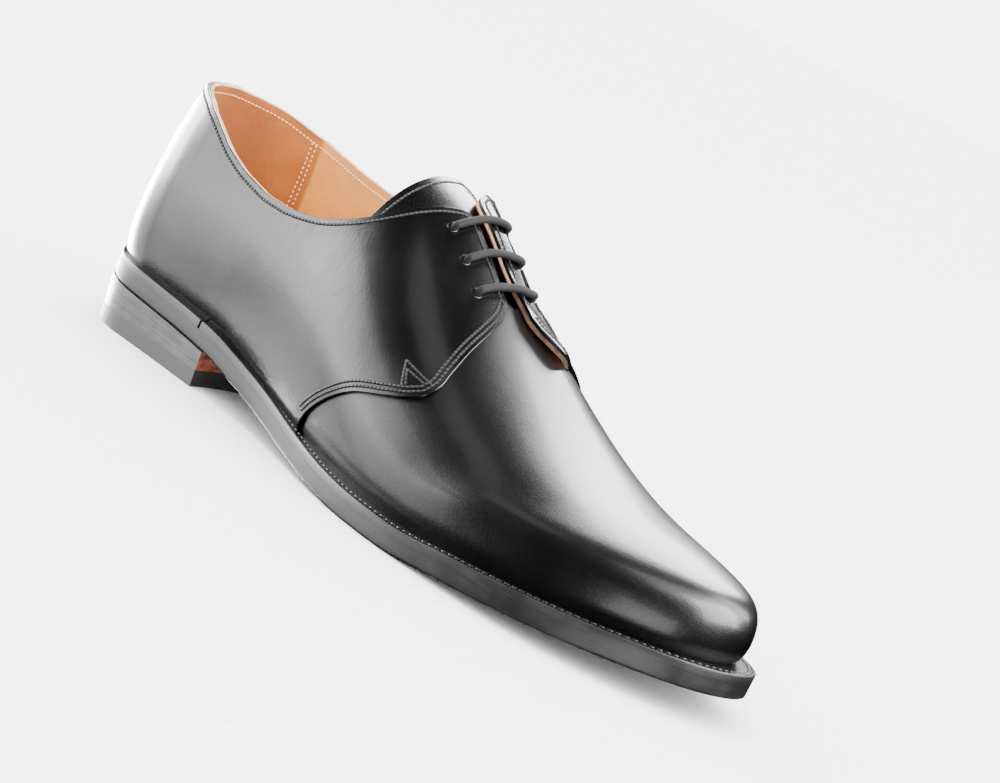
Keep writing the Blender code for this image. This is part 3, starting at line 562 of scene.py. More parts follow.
def thread_finish(name, color, roughness=0.5):
    """Twisted sewing thread."""
    made = Finish(name, roughness)
    strands = made.noise(0.3, 2.0)
    made.set(Base_Color=made.mix(strands.step(0.35, 0.65), tone(color, 0.6), tone(color, 1.4)))
    made.bump(strands, 0.08)
    return made.material


def plain_finish(name, color, roughness, grain=0.6, relief=0.05, shine=0.5):
    """Plain grained surface."""
    made = Finish(name, roughness, **{"Specular IOR Level": shine})
    marks = made.noise(grain, 3.0)
    made.set(Base_Color=made.mix(marks.step(0.3, 0.7), tone(color, 0.93), tone(color, 1.05)))
    made.set(Roughness=roughness + (marks - 0.5) * 0.1)
    made.bump(marks, relief)
    return made.material


def finish(name):
    """One of the shoe's finishes, made when it is first asked for."""
    made = bpy.data.materials.get(name)
    if made:
        return made
    colors = bpy.context.scene.shoe_colors
    recipes = {
        "black calf": lambda: calf_finish(name, colors.calf, 0.25, 0.055),
        "vamp calf": lambda: calf_finish(name, colors.calf, 0.33, 0.055),
        "tongue calf": lambda: calf_finish(name, colors.calf, 0.28, 0.055),
        "tan lining": lambda: lining_finish(name, colors.lining),
        "pale raw edge": lambda: raw_finish(name, colors.pale_edge),
        "brown raw edge": lambda: raw_finish(name, colors.raw_edge),
        "inked sole edge": lambda: ink_finish(name, colors.sole_edge, 0.42, 0.6, 0.06),
        "inked welt": lambda: ink_finish(name, colors.welt, 0.38, 0.8),
        "heel stack": lambda: heel_finish(name, colors.heel, colors.breast, BREAST_X),
        "heel rubber": lambda: plain_finish(name, colors.rubber, 0.5, 0.7),
        "waxed cotton": lambda: thread_finish(name, colors.lace, 0.75),
        # Matte black finish for the strips under the stitch rows: painted shade standing in for the stitch
        # grooves.
        "stitch channel shade": lambda: plain_finish(name, colors.calf, 0.8, 0.4, 0.02),
        "black thread": lambda: thread_finish(name, colors.thread, 0.42),
        "welt thread": lambda: thread_finish(name, colors.welt_thread, 0.45),
        "tan thread": lambda: thread_finish(name, colors.lining_thread, 0.6),
        "pale floor": lambda: plain_finish(name, colors.floor, 0.9, 3.0, 0.0, 0.0),
    }
    return recipes[name]()


def declare(piece, slot, *nodes):
    """Ride with the shoe and stand for CAD nodes. The slot is not used."""
    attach(piece, "root")
    if nodes:
        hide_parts(*nodes)
    return piece


def inset(side, stations, degrees, distance, depth_of):
    """Line on the surface at a distance inside an edge. The inside lies to the left of its way."""
    s, a = np.array(stations, float), np.array(degrees, float)
    start = skin(side, s, a, depth_of(s, a))
    along = np.gradient(start, axis=0)
    along /= np.maximum(np.linalg.norm(along, axis=1, keepdims=True), 1e-9)
    inward = np.cross(skin_normal(side, s, a), along) * side
    target = start + inward * np.asarray(distance).reshape(-1, 1)
    for _ in range(4):
        here = skin(side, s, a, depth_of(s, a))
        by_s = (skin(side, s + 1e-4, a, depth_of(s + 1e-4, a)) - here) / 1e-4
        by_a = (skin(side, s, a + 0.01, depth_of(s, a + 0.01)) - here) / 0.01
        miss = target - here
        ss, sa, aa = (by_s * by_s).sum(1), (by_s * by_a).sum(1), (by_a * by_a).sum(1)
        miss_s, miss_a = (by_s * miss).sum(1), (by_a * miss).sum(1)
        det = ss * aa - sa ** 2 + 1e-12
        s = np.clip(s + (miss_s * aa - miss_a * sa) / det, 0.0, 1.0)
        a = a + (miss_a * ss - miss_s * sa) / det
    return s, a


def spaced(points, pitch, *fields):
    """Places at even spacing along a line of points, with fields carried along."""
    length = np.concatenate([[0], np.cumsum(np.linalg.norm(np.diff(points, axis=0), axis=1))])
    count = max(2, int(round(length[-1] / pitch)))
    spots = (np.arange(count) + 0.5) * length[-1] / count
    return [np.stack([np.interp(spots, length, field[:, k]) for k in range(3)], 1)
            for field in (points, *fields)]


def thread_line(side, stations, degrees, pitch, depth_of, lift=0.0):
    """Spots for stitches on the surface: places, ways along and ways out."""
    points = skin(side, stations, degrees, depth_of(stations, degrees) + lift)
    outs = skin_normal(side, stations, degrees)
    places, outs = spaced(points, pitch, outs)
    along = np.gradient(places, axis=0)
    along /= np.linalg.norm(along, axis=1, keepdims=True)
    return places, along, outs


def spot_tree(name, ring):
    """Node tree that sets one small solid on each spot: a stitch, or a ring."""
    tree = bpy.data.node_groups.new(name, "GeometryNodeTree")
    tree.interface.new_socket("Geometry", in_out="INPUT", socket_type="NodeSocketGeometry")
    for label in ("Length", "Width", "Height"):
        tree.interface.new_socket(label, in_out="INPUT", socket_type="NodeSocketFloat").subtype = "DISTANCE"
    tree.interface.new_socket("Finish", in_out="INPUT", socket_type="NodeSocketMaterial")
    tree.interface.new_socket("Geometry", in_out="OUTPUT", socket_type="NodeSocketGeometry")

    def add(kind, **settings):
        node = tree.nodes.new(kind)
        for key, value in settings.items():
            setattr(node, key, value)
        return node
    source, result = add("NodeGroupInput"), add("NodeGroupOutput")
    link = tree.links.new
    scale = add("ShaderNodeCombineXYZ")
    if ring:
        solid = add("GeometryNodeCurveToMesh")
        circle, profile = add("GeometryNodeCurvePrimitiveCircle"), add("GeometryNodeCurvePrimitiveCircle")
        circle.inputs["Resolution"].default_value = 24
        profile.inputs["Resolution"].default_value = 8
        link(source.outputs["Length"], circle.inputs["Radius"])
        link(source.outputs["Width"], profile.inputs["Radius"])
        link(circle.outputs[0], solid.inputs[0])
        link(profile.outputs[0], solid.inputs[1])
        for k in range(3):
            scale.inputs[k].default_value = 1.0
    else:
        solid = add("GeometryNodeMeshUVSphere")
        solid.inputs["Segments"].default_value = 8
        solid.inputs["Rings"].default_value = 5
        solid.inputs["Radius"].default_value = 0.5
        for label, axis in (("Length", 0), ("Width", 1), ("Height", 2)):
            link(source.outputs[label], scale.inputs[axis])
    turn = add("FunctionNodeAlignRotationToVector", axis="X")
    tilt = add("FunctionNodeAlignRotationToVector", axis="Z", pivot_axis="X")
    for label, node in (("along", turn), ("out", tilt)):
        read = add("GeometryNodeInputNamedAttribute", data_type="FLOAT_VECTOR")
        read.inputs["Name"].default_value = label
        link(read.outputs["Attribute"], node.inputs["Vector"])
    link(turn.outputs[0], tilt.inputs["Rotation"])
    place = add("GeometryNodeInstanceOnPoints")
    link(source.outputs["Geometry"], place.inputs["Points"])
    link(solid.outputs[0], place.inputs["Instance"])
    link(tilt.outputs[0], place.inputs["Rotation"])
    link(scale.outputs[0], place.inputs["Scale"])
    shade, whole = add("GeometryNodeSetShadeSmooth"), add("GeometryNodeRealizeInstances")
    paint = add("GeometryNodeSetMaterial")
    link(place.outputs[0], whole.inputs[0])
    link(whole.outputs[0], shade.inputs[0])
    link(shade.outputs[0], paint.inputs["Geometry"])
    link(source.outputs["Finish"], paint.inputs["Material"])
    link(paint.outputs[0], result.inputs[0])
    return tree


def set_spots(name, lines, length, width, height, material, ring=False):
    """Plain mesh of stitches or rings on the spots of several lines."""
    places, along, outs = (np.concatenate([line[k] for line in lines]) for k in range(3))
    mesh = bpy.data.meshes.new(name)
    mesh.from_pydata([tuple(p * MM) for p in places], [], [])
    for label, values in (("along", along), ("out", outs)):
        mesh.attributes.new(label, "FLOAT_VECTOR", "POINT").data.foreach_set("vector", values.ravel())
    made = bpy.data.objects.new(name, mesh)
    bpy.context.scene.collection.objects.link(made)
    kind = "ring spots" if ring else "stitch spots"
    tree = bpy.data.node_groups.get(kind) or spot_tree(kind, ring)
    nodes = made.modifiers.new("spots", "NODES")
    nodes.node_group = tree
    values = {"Length": length * MM, "Width": width * MM, "Height": height * MM, "Finish": material}
    for item in tree.interface.items_tree:
        if item.in_out == "INPUT" and item.name in values:
            nodes[item.identifier] = values[item.name]
    bpy.context.view_layer.update()
    result = bpy.data.meshes.new_from_object(made.evaluated_get(bpy.context.evaluated_depsgraph_get()))
    made.modifiers.clear()
    made.data = result
    result.name = name
    return made


def quarter_grid(side, rows, columns, over, front_cut=0.0):
    """Stations and angles over a quarter, up to a distance over its top edge."""
    share = np.linspace(0, 1, columns) ** 1.3
    way = np.linspace(0, 1, rows)
    way = 0.35 * way + 0.65 * np.sin(way * math.pi / 2)
    front = quarter_front[side](share * WALL_TOP[side]) - front_cut
    stations = front * way[:, None]
    degrees = share * (opening_angle[side](stations) + over)
    return stations, degrees


def with_hem(points):
    """Grid with one more column that goes down under its first one."""
    hem = points[:, :1].copy()
    hem[..., 2] -= HEM
    return np.concatenate([hem, points], 1)


def hemmed(side, stations, degrees, *depths):
    """Grids of one layer at some depths, each with its hem."""
    return [with_hem(skin(side, stations, degrees, depth)) for depth in depths]


def quarter_edge(side):
    """Stations and angles along the quarter's top edge and facing, and along its front."""
    s = np.concatenate([np.linspace(*run) for run in ((0, 0.39, 90), (0.3915, 0.49, 70), (0.494, 0.567, 24))])
    a = np.linspace(WALL_TOP[side], 0.0, 150)
    return (s, opening_angle[side](s)), (quarter_front[side](a), a)


class MakeUpper(bpy.types.Operator):
    """Vamp, quarters, facing, back strip and linings"""
    bl_idname = "shoe.make_upper"
    bl_label = "Upper"

    def execute(self, context):
        sizes = context.scene.shoe_sizes
        thick, lining = sizes.leather / MM, sizes.lining / MM
        calf, tan = finish("black calf"), finish("tan lining")
        raw, pale = finish("brown raw edge"), finish("pale raw edge")
        share = np.linspace(0, 1, 110)
        degrees = 180 * (0.5 - 0.5 * np.sign(1 - 2 * share) * np.abs(1 - 2 * share) ** 1.25)
        right = np.minimum(degrees, WALL_TOP[RIGHT])
        left = np.minimum(180 - degrees, WALL_TOP[LEFT])
        far = smooth(76, 87, degrees)
        back = quarter_front[RIGHT](right) * (1 - far) + quarter_front[LEFT](left) * far
        throat = smooth(0, 7, np.abs(degrees - THROAT_ANGLE))
        back = back - THROAT_TUCKED - (VAMP_TUCKED - THROAT_TUCKED) * throat
        way = rows_to_toe(0.0, 60)
        stations = back + (1 - back) * way[:, None]
        full = shoulder(stations, degrees)
        for name, slot, low, high, paint, nodes in (
                ("vamp", "upper_calf", VAMP_LEATHER_FLOOR, VAMP_WALL, (finish("vamp calf"), raw), ("upper",)),
                ("vamp_lining", "lining_leather", 0.0, VAMP_LINING_TOP, (tan, pale), ())):
            faces = hemmed(RIGHT, stations, degrees, high + full, low)
            vamp = Piece()
            vamp.shell(*(with_hem(grid[:, ::-1]) for grid in faces), (0, 0, 1))
            declare(vamp.make(name, paint, 50), slot, *nodes)
        for side, word in ((RIGHT, "outer"), (LEFT, "inner")):
            stations, degrees = quarter_grid(side, 150, 60, 0.0)
            depth = quarter_depth(side, stations, degrees)
            leather = Piece()
            leather.shell(*hemmed(side, stations, degrees, depth, depth - thick))
            declare(leather.make(f"{word}_quarter", (calf,), 50, 0.3), "upper_calf")
            stations, degrees = quarter_grid(side, 120, 40, LINING_OVER, LINING_SHORT)
            depth = quarter_depth(side, stations, degrees) - thick - LAYER_GAP
            pocket = LINING_POCKET * (1 - smooth(LINING_SEAM + 0.002, LINING_SEAM + 0.005, stations))
            soft = Piece()
            soft.shell(*hemmed(side, stations, degrees, depth, depth - lining - pocket), (0, 0, 1))
            declare(soft.make(f"{word}_lining", (tan, pale), 50, 0.2), "lining_leather")
            self.backing(side, word, thick, raw, tan)
        self.back_strip(calf)
        return {"FINISHED"}

    def backing(self, side, word, thick, raw, tan):
        """Facing backing along the front edge, with its raw brown edge showing."""
        def face(s, a):
            return quarter_depth(side, s, a)
        (s0, a0), (s1, a1) = quarter_edge(side)
        top, cut = s0 > BACKING_START[side], a1 > BACKING_LOW[side]
        s, a = np.concatenate([s0[top], s1[cut]]), np.concatenate([a0[top], a1[cut]])
        rows = [inset(side, s, a, distance, face) for distance in BACKING_ROWS]
        stations, degrees = (np.array(column) for column in zip(*rows))
        depth = face(stations, degrees) - thick - THIN_GAP
        strip = Piece()
        strip.shell(skin(side, stations, degrees, depth),
                    skin(side, stations, degrees, depth - BACKING_THICK[side]), (0, 1, 0))
        declare(strip.make(f"{word}_facing_backing", (raw, tan), 50, 0.2), "lining_leather")

    def back_strip(self, calf):
        """Short strip over the top of the back seam."""
        across, down = np.meshgrid(np.linspace(-1, 1, 17), np.linspace(0, 1, 12))
        stations = np.abs(across) * (STRIP_HALF - STRIP_NARROWER * down)
        degrees = opening_angle[RIGHT](stations) - STRIP_BELOW_EDGE - STRIP_DROP * down
        wall = quarter_depth(RIGHT, stations, degrees)

        def layer(depth):
            sides = {side: skin(side, stations, degrees, depth) for side in (RIGHT, LEFT)}
            return np.where((across < 0)[..., None], sides[RIGHT], sides[LEFT])
        strip = Piece()
        strip.shell(layer(wall + STRIP_PROUD), layer(wall - STRIP_SUNK))
        declare(strip.make("back_strip", (calf,), 50, 0.35), "upper_calf")


class MakeTongue(bpy.types.Operator):
    """Tongue with its lining"""
    bl_idname = "shoe.make_tongue"
    bl_label = "Tongue"

    def execute(self, context):
        share, across = np.meshgrid(np.linspace(0, 1, 60), np.linspace(0, 1, 64), indexing="ij")
        low = TONGUE_LOW + (TONGUE_LOW_FOOT - TONGUE_LOW) * share
        degrees = low + (180 - 2 * low) * across
        far = np.clip((degrees - 90) / (90 - TONGUE_LOW), 0, 1)
        stations = (TONGUE_TOP + TONGUE_ROUND * far ** 2) * (1 - share) + TONGUE_FOOT * share
        lower = TONGUE_FAR_DROP * smooth(98.0, 110.0, degrees)
        split = TONGUE_DROP + TONGUE_LEATHER
        for name, top, bottom, paint, slot, nodes in (
                ("tongue_leather", TONGUE_DROP, split, ("tongue calf", "brown raw edge"), "upper_calf",
                 ("tongue",)),
                ("tongue_lining", split + THIN_GAP, TONGUE_DROP + TONGUE_THICK,
                 ("tan lining", "pale raw edge"), "lining_leather", ())):
            faces = [skin(RIGHT, stations, degrees, -depth - lower) for depth in (top, bottom)]
            piece = Piece()
            piece.shell(*faces, (0, 0, 1))
            declare(piece.make(name, [finish(p) for p in paint], 50, 0.25), slot, *nodes)
        return {"FINISHED"}


class MakeSole(bpy.types.Operator):
    """Outsole, welt, heel rand and sock"""
    bl_idname = "shoe.make_sole"
    bl_label = "Sole and welt"

    def plate(self, name, profile, paint, slot, *nodes, outline=sole_rim):
        """Plate whose edge follows a profile of heights and ways out, from its underside up."""
        stations = rows_to_toe(0.0, 110)
        piece = Piece()
        sides = [np.stack([outline(side, stations, height, out) for height, out in profile], 1)
                 for side in (RIGHT, LEFT)]
        for edge in sides:
            piece.grid(edge)
        across = np.linspace(0, 1, 9)[None, :, None]
        for index in (0, -1):
            rights, lefts = (edge[:, None, index] for edge in sides)
            piece.grid(rights * (1 - across) + lefts * across)
        return declare(piece.make(name, (finish(paint),), 50), slot, *nodes)

    def strip(self, name, way, proud, node):
        """Strip round the foot of the upper, along a way on the outer side and back on the inner one."""
        low, high = OUTSOLE_THICK + THIN_GAP, FEATHER_HEIGHT
        profile = ((low, proud), (high - 0.5, proud), (high - 0.15, proud - 0.15), (high, proud - 0.5))
        sections = []
        for side, stations in ((RIGHT, way), (LEFT, way[::-1][1:])):
            edge = [sole_rim(side, stations, height, out) for height, out in profile]
            ring = [rim(side, stations, WELT_FOOT, low), *edge, rim(side, stations, WELT_FOOT, high)]
            sections.append(np.stack(ring, 1))
        piece = Piece()
        piece.tube(np.concatenate(sections))
        made = piece.make(name, (finish("inked sole edge"), finish("inked welt")), 50)
        for face in made.data.polygons:
            face.material_index = int(face.normal.z > 0.6)
        declare(made, "welt_strip", node)

    def execute(self, context):
        profile = ((0.0, -1.6), (0.12, -0.7), (0.5, -0.15), (1.1, 0.0), (3.3, 0.0), (OUTSOLE_THICK, 0.0))
        self.plate("outsole_leather", profile, "inked sole edge", "sole_edge", "outsole")
        start = station_of(NOTCH_X + NOTCH_WIDTH)
        self.strip("welt_strip", np.concatenate([[start], rows_to_toe(start + 0.004, 100)]), 0.0, "welt")
        self.strip("rand_strip", np.linspace(station_of(NOTCH_X), 0.0, 50), RAND_PROUD, "heel_rand")

        def inside(side, station, height, out):
            return rim(side, station, out - SOCK_INSIDE, height)
        base = OUTSOLE_THICK + GAP + SOCK_BASE
        sock = ((base, -0.2), (base + 0.2, 0.0), (base + 0.9, 0.0), (base + 1.1, -0.3))
        self.plate("sock", sock, "tan lining", "lining_leather", outline=inside)
        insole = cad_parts["insole"]
        insole.data.materials.clear()
        insole.data.materials.append(finish("tan lining"))
        return {"FINISHED"}


class MakeHeel(bpy.types.Operator):
    """Stacked lifts and the top piece"""
    bl_idname = "shoe.make_heel"
    bl_label = "Heel"

    def layer(self, name, bottom, top, paint, slot, node):
        """Layer between two levels, with a tapered outline and a hollowed breast."""
        breast = station_of(BREAST_X)
        stations = np.concatenate([np.linspace(0, FAN_END, 34), np.linspace(FAN_END, breast, 22)[1:]])
        across = np.linspace(0, 1, 25)[None, :, None]
        taper = HEEL_TAPER + (HEEL_TAPER_BACK - HEEL_TAPER) * smooth(FAN_END, 0.0, stations)
        hollow = BREAST_HOLLOW * smooth(station_of(15), breast, stations)[:, None]
        grids = []
        for share in (0.0, 0.5, 1.0):
            ends = []
            for side in (RIGHT, LEFT):
                x = sole_rim(side, stations, 0.0)[:, 0]
                level = bottom(x) * (1 - share) + top(x) * share
                ends.append(sole_rim(side, stations, 0.0, -taper * (1 - level / tread(x))))
            grid = ends[0][:, None] * (1 - across) + ends[1][:, None] * across
            grid[..., 0] -= hollow * (1 - (2 * across[..., 0] - 1) ** 2)
            grid[..., 2] = bottom(grid[..., 0]) * (1 - share) + top(grid[..., 0]) * share
            grids.append(grid)
        stack = np.array(grids)
        piece = Piece()
        for face in (stack[0], stack[-1], stack[:, :, 0], stack[:, :, -1], stack[:, -1]):
            piece.grid(face)
        declare(piece.make(name, (finish(paint),), 50), slot, node)

    def execute(self, context):
        def level(share, gap):
            return lambda x: TOP_PIECE_THICK + 0.02 + (tread(x) - 0.1 - TOP_PIECE_THICK) * share + gap
        self.layer("heel_top_piece", lambda x: 0.0, lambda x: TOP_PIECE_THICK, "heel rubber", "heel_rubber",
                   "top_piece")
        for number in range(LIFTS):
            self.layer(f"heel_lift_leather_{number + 1}", level(number / LIFTS, 0.0),
                       level((number + 1) / LIFTS, -THIN_GAP), "heel stack", "heel_stack",
                       f"heel_lift_{number + 1}")
        return {"FINISHED"}


class MakeLace(bpy.types.Operator):
    """Three bars of round cotton lace and the six eyelet rings"""
    bl_idname = "shoe.make_lace"
    bl_label = "Lace and eyelets"

    def bar(self, number, station, thick):
        """Sections of one woven bar, from eyelet to eyelet over the tongue."""
        turn = np.linspace(EYELET_ANGLE[RIGHT] - 0.9, 180.0 - EYELET_ANGLE[LEFT] + 0.3, LACE_RINGS)
        lift = quarter_depth(LEFT, station, np.minimum(180 - turn, WALL_TOP[LEFT])) - QUARTER_WALL
        ends = np.minimum(turn - turn[0], turn[-1] - turn)
        depth = QUARTER_WALL + thick / 2 + lift * smooth(78, 90, turn)
        depth = depth - LACE_SINK * (1 - smooth(0, LACE_SINK_RUN, ends))
        slip = LACE_SLIP * np.sin((turn - turn[0]) / (turn[-1] - turn[0]) * math.pi * 2 + number)
        middle = skin(RIGHT, station + slip, turn, depth)
        along = np.gradient(middle, axis=0)
        along /= np.linalg.norm(along, axis=1, keepdims=True)
        first = np.cross(along, (1.0, 0.0, 0.0))
        first /= np.linalg.norm(first, axis=1, keepdims=True)
        second = np.cross(along, first)
        length = np.concatenate([[0], np.cumsum(np.linalg.norm(np.diff(middle, axis=0), axis=1))])
        round_way = np.arange(LACE_SIDES) / LACE_SIDES * 2 * math.pi
        strands, twist = WEAVE_STRANDS * round_way[None], WEAVE_TURN * length[:, None]
        radius = thick / 2 * (1 + WEAVE_RELIEF * np.sin(strands + twist) * np.sin(strands - twist))
        out = (np.cos(round_way)[None, :, None] * first[:, None]
               + np.sin(round_way)[None, :, None] * second[:, None])
        return middle[:, None] + radius[..., None] * out

    def execute(self, context):
        for number, station in enumerate(EYELET_STATIONS, 1):
            piece = Piece()
            piece.tube(self.bar(number, station, context.scene.shoe_sizes.lace / MM))
            declare(piece.make(f"lace_{number}", (finish("waxed cotton"),), 80), "lace_cotton",
                    f"lace_bar_{number}")
        lines = []
        s = np.array(EYELET_STATIONS)
        for side in (RIGHT, LEFT):
            a = np.full(len(s), EYELET_ANGLE[side])
            depth = quarter_depth(side, s, a)
            along = skin(side, s + 1e-3, a, depth) - skin(side, s, a, depth)
            lines.append((skin(side, s, a, depth - RING_SUNK), along, skin_normal(side, s, a, depth)))
        ring = set_spots("eyelet_rings", lines, EYELET_BORE + RING_WIDER, RING_THICK, 0.0,
                         finish("black calf"), ring=True)
        declare(ring, "upper_calf")
        return {"FINISHED"}


class MakeStitches(bpy.types.Operator):
    """Stitch rows of the upper, tongue, lining and welt"""
    bl_idname = "shoe.make_stitches"
    bl_label = "Stitches"

    def quarter(self, side, sizes, black, tan_rows):
        """Rows along the edges of one quarter, its tack and the seams of its lining."""
        pitch, lining_depth = sizes.stitch_pitch / MM, sizes.leather / MM + sizes.lining / MM

        def face(s, a):
            return quarter_depth(side, s, a)

        def under(s, a):
            return face(s, a) - lining_depth - LAYER_GAP - LINING_POCKET * (s < LINING_SEAM + 0.003)
        (s0, a0), (s1, a1) = quarter_edge(side)
        s, a = inset(side, s0, a0, TOP_ROW, face)
        keep = s < quarter_front[side](a) - TOP_ROW_END
        black.append(thread_line(side, s[keep], a[keep], pitch, face, ROW_LIFT))
        for distance in FRONT_ROWS:
            s, a = inset(side, s1, a1, distance, face)
            keep = (a > 1.5) & (a < opening_angle[side](s) - 1.0)
            black.append(thread_line(side, s[keep], a[keep], pitch, face, ROW_LIFT))
        run = np.linspace(0, 1, 20)
        for path in TACK:
            for (sa, aa), (sb, ab) in zip(path, path[1:]):
                s, a = sa + (sb - sa) * run, aa + (ab - aa) * run
                black.append(thread_line(side, s, a, pitch * 0.9, face, ROW_LIFT))
        s, a = inset(side, s0, a0, LINING_ROW, face)
        keep = s < LINING_END
        tan_rows.append(thread_line(side, s[keep], a[keep], pitch, under, -ROW_LIFT))
        for back in SEAM_ROWS:
            station = LINING_SEAM - back
            a = np.linspace(4, opening_angle[side](station) - 2.0, 30)
            tan_rows.append(thread_line(side, station, a, pitch * 1.2, under, -ROW_LIFT))

    def execute(self, context):
        sizes = context.scene.shoe_sizes
        pitch, long, wide = sizes.stitch_pitch / MM, sizes.stitch_length / MM, sizes.stitch_width / MM
        black, tan_rows = [], []
        for side in (RIGHT, LEFT):
            self.quarter(side, sizes, black, tan_rows)
        degrees = TONGUE_LOW + (180 - 2 * TONGUE_LOW) * np.linspace(0.02, 0.98, 80)
        far = np.clip((degrees - 90) / (90 - TONGUE_LOW), 0, 1)
        stations = TONGUE_TOP + TONGUE_ROUND * far ** 2 + TONGUE_ROW
        black.append(thread_line(RIGHT, stations, degrees, pitch, lambda s, a: -TONGUE_DROP, ROW_LIFT))
        for name, lines, length, width, height, paint, slot in (
                ("upper_stitches", black, long, wide, wide * 0.9, "black thread", "upper_calf"),
                # Low matte black strips under the upper's stitch rows: painted shade standing in for the
                # stitch grooves.
                ("stitch_channel_shade", black, pitch * 1.5, wide * 1.7, 0.22, "stitch channel shade", "upper_calf"),
                ("lining_stitches", tan_rows, long, wide, wide * 0.7, "tan thread", "lining_leather")):
            declare(set_spots(name, lines, length, width, height, finish(paint)), slot)
        self.welt(sizes)
        return {"FINISHED"}

    def welt(self, sizes):
        """Stitches on the welt, and the wheel's ribs along its outer edge."""
        way = rows_to_toe(station_of(NOTCH_X + NOTCH_WIDTH) + 0.003, 200)
        rows, ribs = [], []
        for out, lines, pitch, lift in ((-WELT_ROW, rows, sizes.welt_pitch / MM, ROW_LIFT),
                                        (-RIB_ROW, ribs, RIB_PITCH, -RIB_SUNK)):
            points = np.concatenate([sole_rim(RIGHT, way, FEATHER_HEIGHT + lift, out),
                                     sole_rim(LEFT, way[::-1][1:], FEATHER_HEIGHT + lift, out)])
            places, = spaced(points, pitch)
            along = np.gradient(places, axis=0)
            along /= np.linalg.norm(along, axis=1, keepdims=True)
            up = np.tile((0.0, 0.0, 1.0), (len(places), 1))
            up -= along * (up * along).sum(1, keepdims=True)
            lines.append((places, along if lines is rows else np.cross(up, along), up))
        declare(set_spots("welt_stitches", rows, 2.1, 0.95, 0.7, finish("welt thread")), "welt_strip")
        declare(set_spots("welt_ribs", ribs, 1.3, 0.62, 0.5, finish("inked welt")), "welt_strip")


def direction(azimuth, elevation):
    """Way from the shoe to a place, from its azimuth and elevation in degrees."""
    az, el = math.radians(azimuth), math.radians(elevation)
    return Vector((math.sin(az) * math.cos(el), -math.cos(az) * math.cos(el), math.sin(el)))


class MakeStage(bpy.types.Operator):
    """Floor, lights and the photograph's camera"""
    bl_idname = "shoe.make_stage"
    bl_label = "Stage"

    def softbox(self, name, place, width, radiance, gloss=True):
        """Square light at a place in metres, turned to the shoe. It lights either gloss or the rest."""
        data = bpy.data.lights.new(name, "AREA")
        data.size = width
        data.energy = radiance * math.pi * width ** 2
        made = bpy.data.objects.new(name, data)
        made.location = place
        made.rotation_mode = "QUATERNION"
        made.rotation_quaternion = (Vector(PANEL_TARGET) - Vector(place)).to_track_quat("-Z", "Y")
        made.visible_camera = False
        made.visible_diffuse = not gloss
        made.visible_glossy = gloss
        bpy.context.scene.collection.objects.link(made)

    def execute(self, context):
        turn = np.linspace(0, 2 * math.pi, 97)
        disc = np.stack([np.outer(FLOOR_RADII, np.cos(turn)) + PANEL_TARGET[0],
                         np.outer(FLOOR_RADII, np.sin(turn)), np.zeros((len(FLOOR_RADII), len(turn)))], -1)
        piece = Piece()
        piece.grid(disc / MM)
        floor = piece.make("floor", (finish("pale floor"),), 80)
        mesh = floor.data
        if mesh.polygons[0].normal.z < 0:
            mesh.flip_normals()
        floor.visible_glossy = False
        world = bpy.data.worlds.new("studio")
        context.scene.world = world
        world.use_nodes = True
        world.node_tree.nodes["Background"].inputs["Color"].default_value = (1.0, 1.0, 1.0, 1.0)
        world.node_tree.nodes["Background"].inputs["Strength"].default_value = WORLD_STRENGTH
        world.cycles_visibility.glossy = False
        for name, azimuth, elevation, distance, width, radiance in PANELS:
            place = Vector(PANEL_TARGET) + direction(azimuth, elevation) * distance
            self.softbox(name, place, width, radiance)
        self.softbox("key", KEY_PLACE, KEY_WIDTH, KEY_RADIANCE, gloss=False)
        self.camera(context)
        return {"FINISHED"}

    def camera(self, context):
        az, roll = math.radians(CAMERA_AZIMUTH), math.radians(CAMERA_ROLL)
        back = direction(CAMERA_AZIMUTH, CAMERA_ELEVATION)
        level = Vector((math.cos(az), math.sin(az), 0.0))
        upright = back.cross(level)
        across = level * math.cos(roll) + upright * math.sin(roll)
        up = -level * math.sin(roll) + upright * math.cos(roll)
        place = (Vector(CAMERA_TARGET) + across * CAMERA_SLIDE[0] + up * CAMERA_SLIDE[1]
                 + back * CAMERA_DISTANCE) * MM
        data = bpy.data.cameras.new("camera")
        data.sensor_width = SENSOR
        data.lens = CAMERA_FOCAL / PICTURE_WIDTH * SENSOR
        made = bpy.data.objects.new("camera", data)
        bpy.context.scene.collection.objects.link(made)
        made.matrix_world = Matrix.Translation(place) @ Matrix((across, up, back)).transposed().to_4x4()
        context.scene.camera = made


def length_prop(name, description, default):
    return bpy.props.FloatProperty(name=name, description=description, default=default, subtype="DISTANCE",
                                   unit="LENGTH", precision=5)


def color_prop(name, description, default):
    return bpy.props.FloatVectorProperty(name=name, description=description, default=default, subtype="COLOR",
                                         size=3, min=0.0, max=1.0)


class ShoeSizes(bpy.types.PropertyGroup):
    """Sizes of the leather and the stitching"""
    leather: length_prop("Leather", "Thickness of the quarter's leather", 0.0013)
    lining: length_prop("Lining", "Thickness of the quarter's lining", 0.0010)
    stitch_pitch: length_prop("Stitch pitch", "Spacing of the stitches on the upper", 0.0016)
    stitch_length: length_prop("Stitch length", "Length of one stitch on the upper", 0.00125)
    stitch_width: length_prop("Stitch width", "Width of one stitch on the upper", 0.0007)
    lace: length_prop("Lace", "Thickness of the round lace", 0.0027)
    welt_pitch: length_prop("Welt pitch", "Spacing of the stitches on the welt", 0.0027)


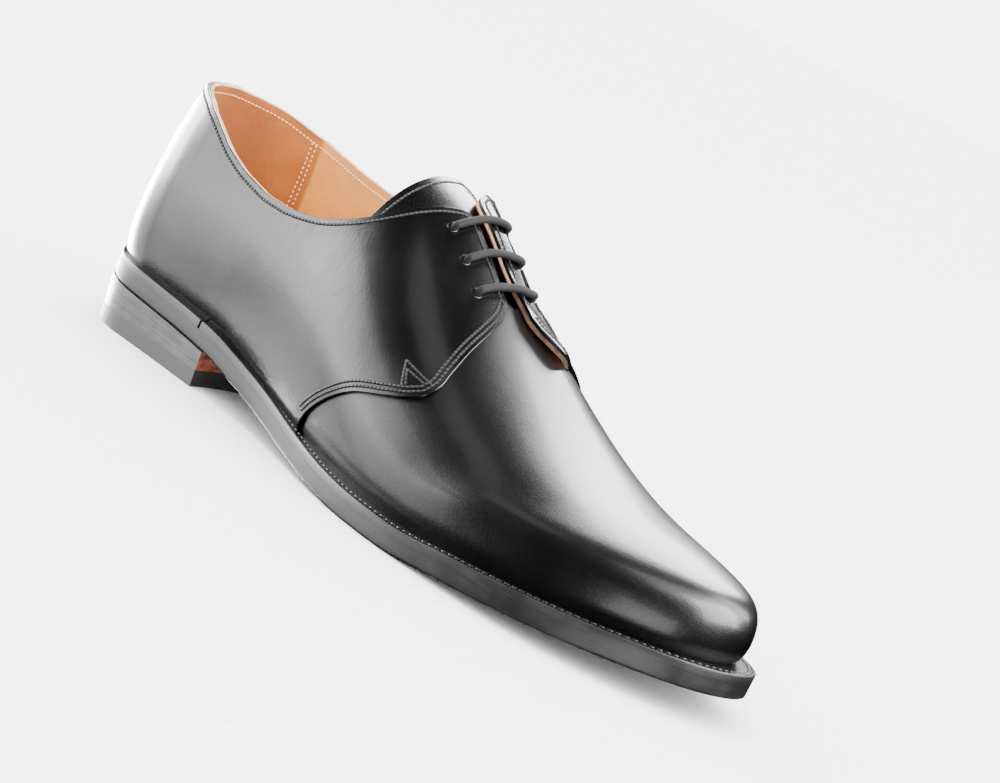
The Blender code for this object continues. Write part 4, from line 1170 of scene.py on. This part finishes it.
class ShoeColors(bpy.types.PropertyGroup):
    """Colours of the shoe's finishes"""
    calf: color_prop("Calf", "Black calf of the upper", (0.0014, 0.0014, 0.0018))
    lining: color_prop("Lining", "Tan lining", (0.62, 0.255, 0.05))
    pale_edge: color_prop("Pale edge", "Raw edge of the lining", (0.62, 0.42, 0.26))
    raw_edge: color_prop("Raw edge", "Raw edge of the facings", (0.10, 0.045, 0.025))
    sole_edge: color_prop("Sole edge", "Inked edge of the outsole", (0.010, 0.010, 0.0105))
    welt: color_prop("Welt", "Inked welt", (0.003, 0.003, 0.0035))
    heel: color_prop("Heel", "Burnished heel stack", (0.034, 0.034, 0.035))
    breast: color_prop("Breast", "Leather of the heel breast", (0.30, 0.09, 0.045))
    rubber: color_prop("Rubber", "Rubber of the top piece", (0.034, 0.034, 0.034))
    lace: color_prop("Lace", "Round cotton lace", (0.003, 0.0034, 0.0045))
    thread: color_prop("Thread", "Thread of the upper", (0.012, 0.013, 0.015))
    welt_thread: color_prop("Welt thread", "Thread of the welt", (0.012, 0.012, 0.013))
    lining_thread: color_prop("Lining thread", "Thread of the lining", (0.80, 0.52, 0.30))
    floor: color_prop("Floor", "Pale studio floor", (0.92, 0.92, 0.92))


MAKERS = (MakeStage, MakeSole, MakeHeel, MakeUpper, MakeTongue, MakeLace, MakeStitches)


class ShoePanel(bpy.types.Panel):
    """Sizes, colours and makers of the shoe"""
    bl_idname = "VIEW3D_PT_shoe"
    bl_label = "Derby shoe"
    bl_space_type = "VIEW_3D"
    bl_region_type = "UI"
    bl_category = "Shoe"

    def draw(self, context):
        for settings in (context.scene.shoe_sizes, context.scene.shoe_colors):
            for name in settings.__annotations__:
                self.layout.prop(settings, name)
        for maker in MAKERS:
            self.layout.operator(maker.bl_idname)


CLASSES = (ShoeSizes, ShoeColors, *MAKERS, ShoePanel)


def register():
    for one in CLASSES:
        bpy.utils.register_class(one)
    bpy.types.Scene.shoe_sizes = bpy.props.PointerProperty(type=ShoeSizes)
    bpy.types.Scene.shoe_colors = bpy.props.PointerProperty(type=ShoeColors)


def unregister():
    del bpy.types.Scene.shoe_sizes
    del bpy.types.Scene.shoe_colors
    for one in reversed(CLASSES):
        bpy.utils.unregister_class(one)


def main():
    register()
    for maker in MAKERS:
        group, name = maker.bl_idname.split(".")
        getattr(getattr(bpy.ops, group), name)()


if __name__ == "__main__":
    main()
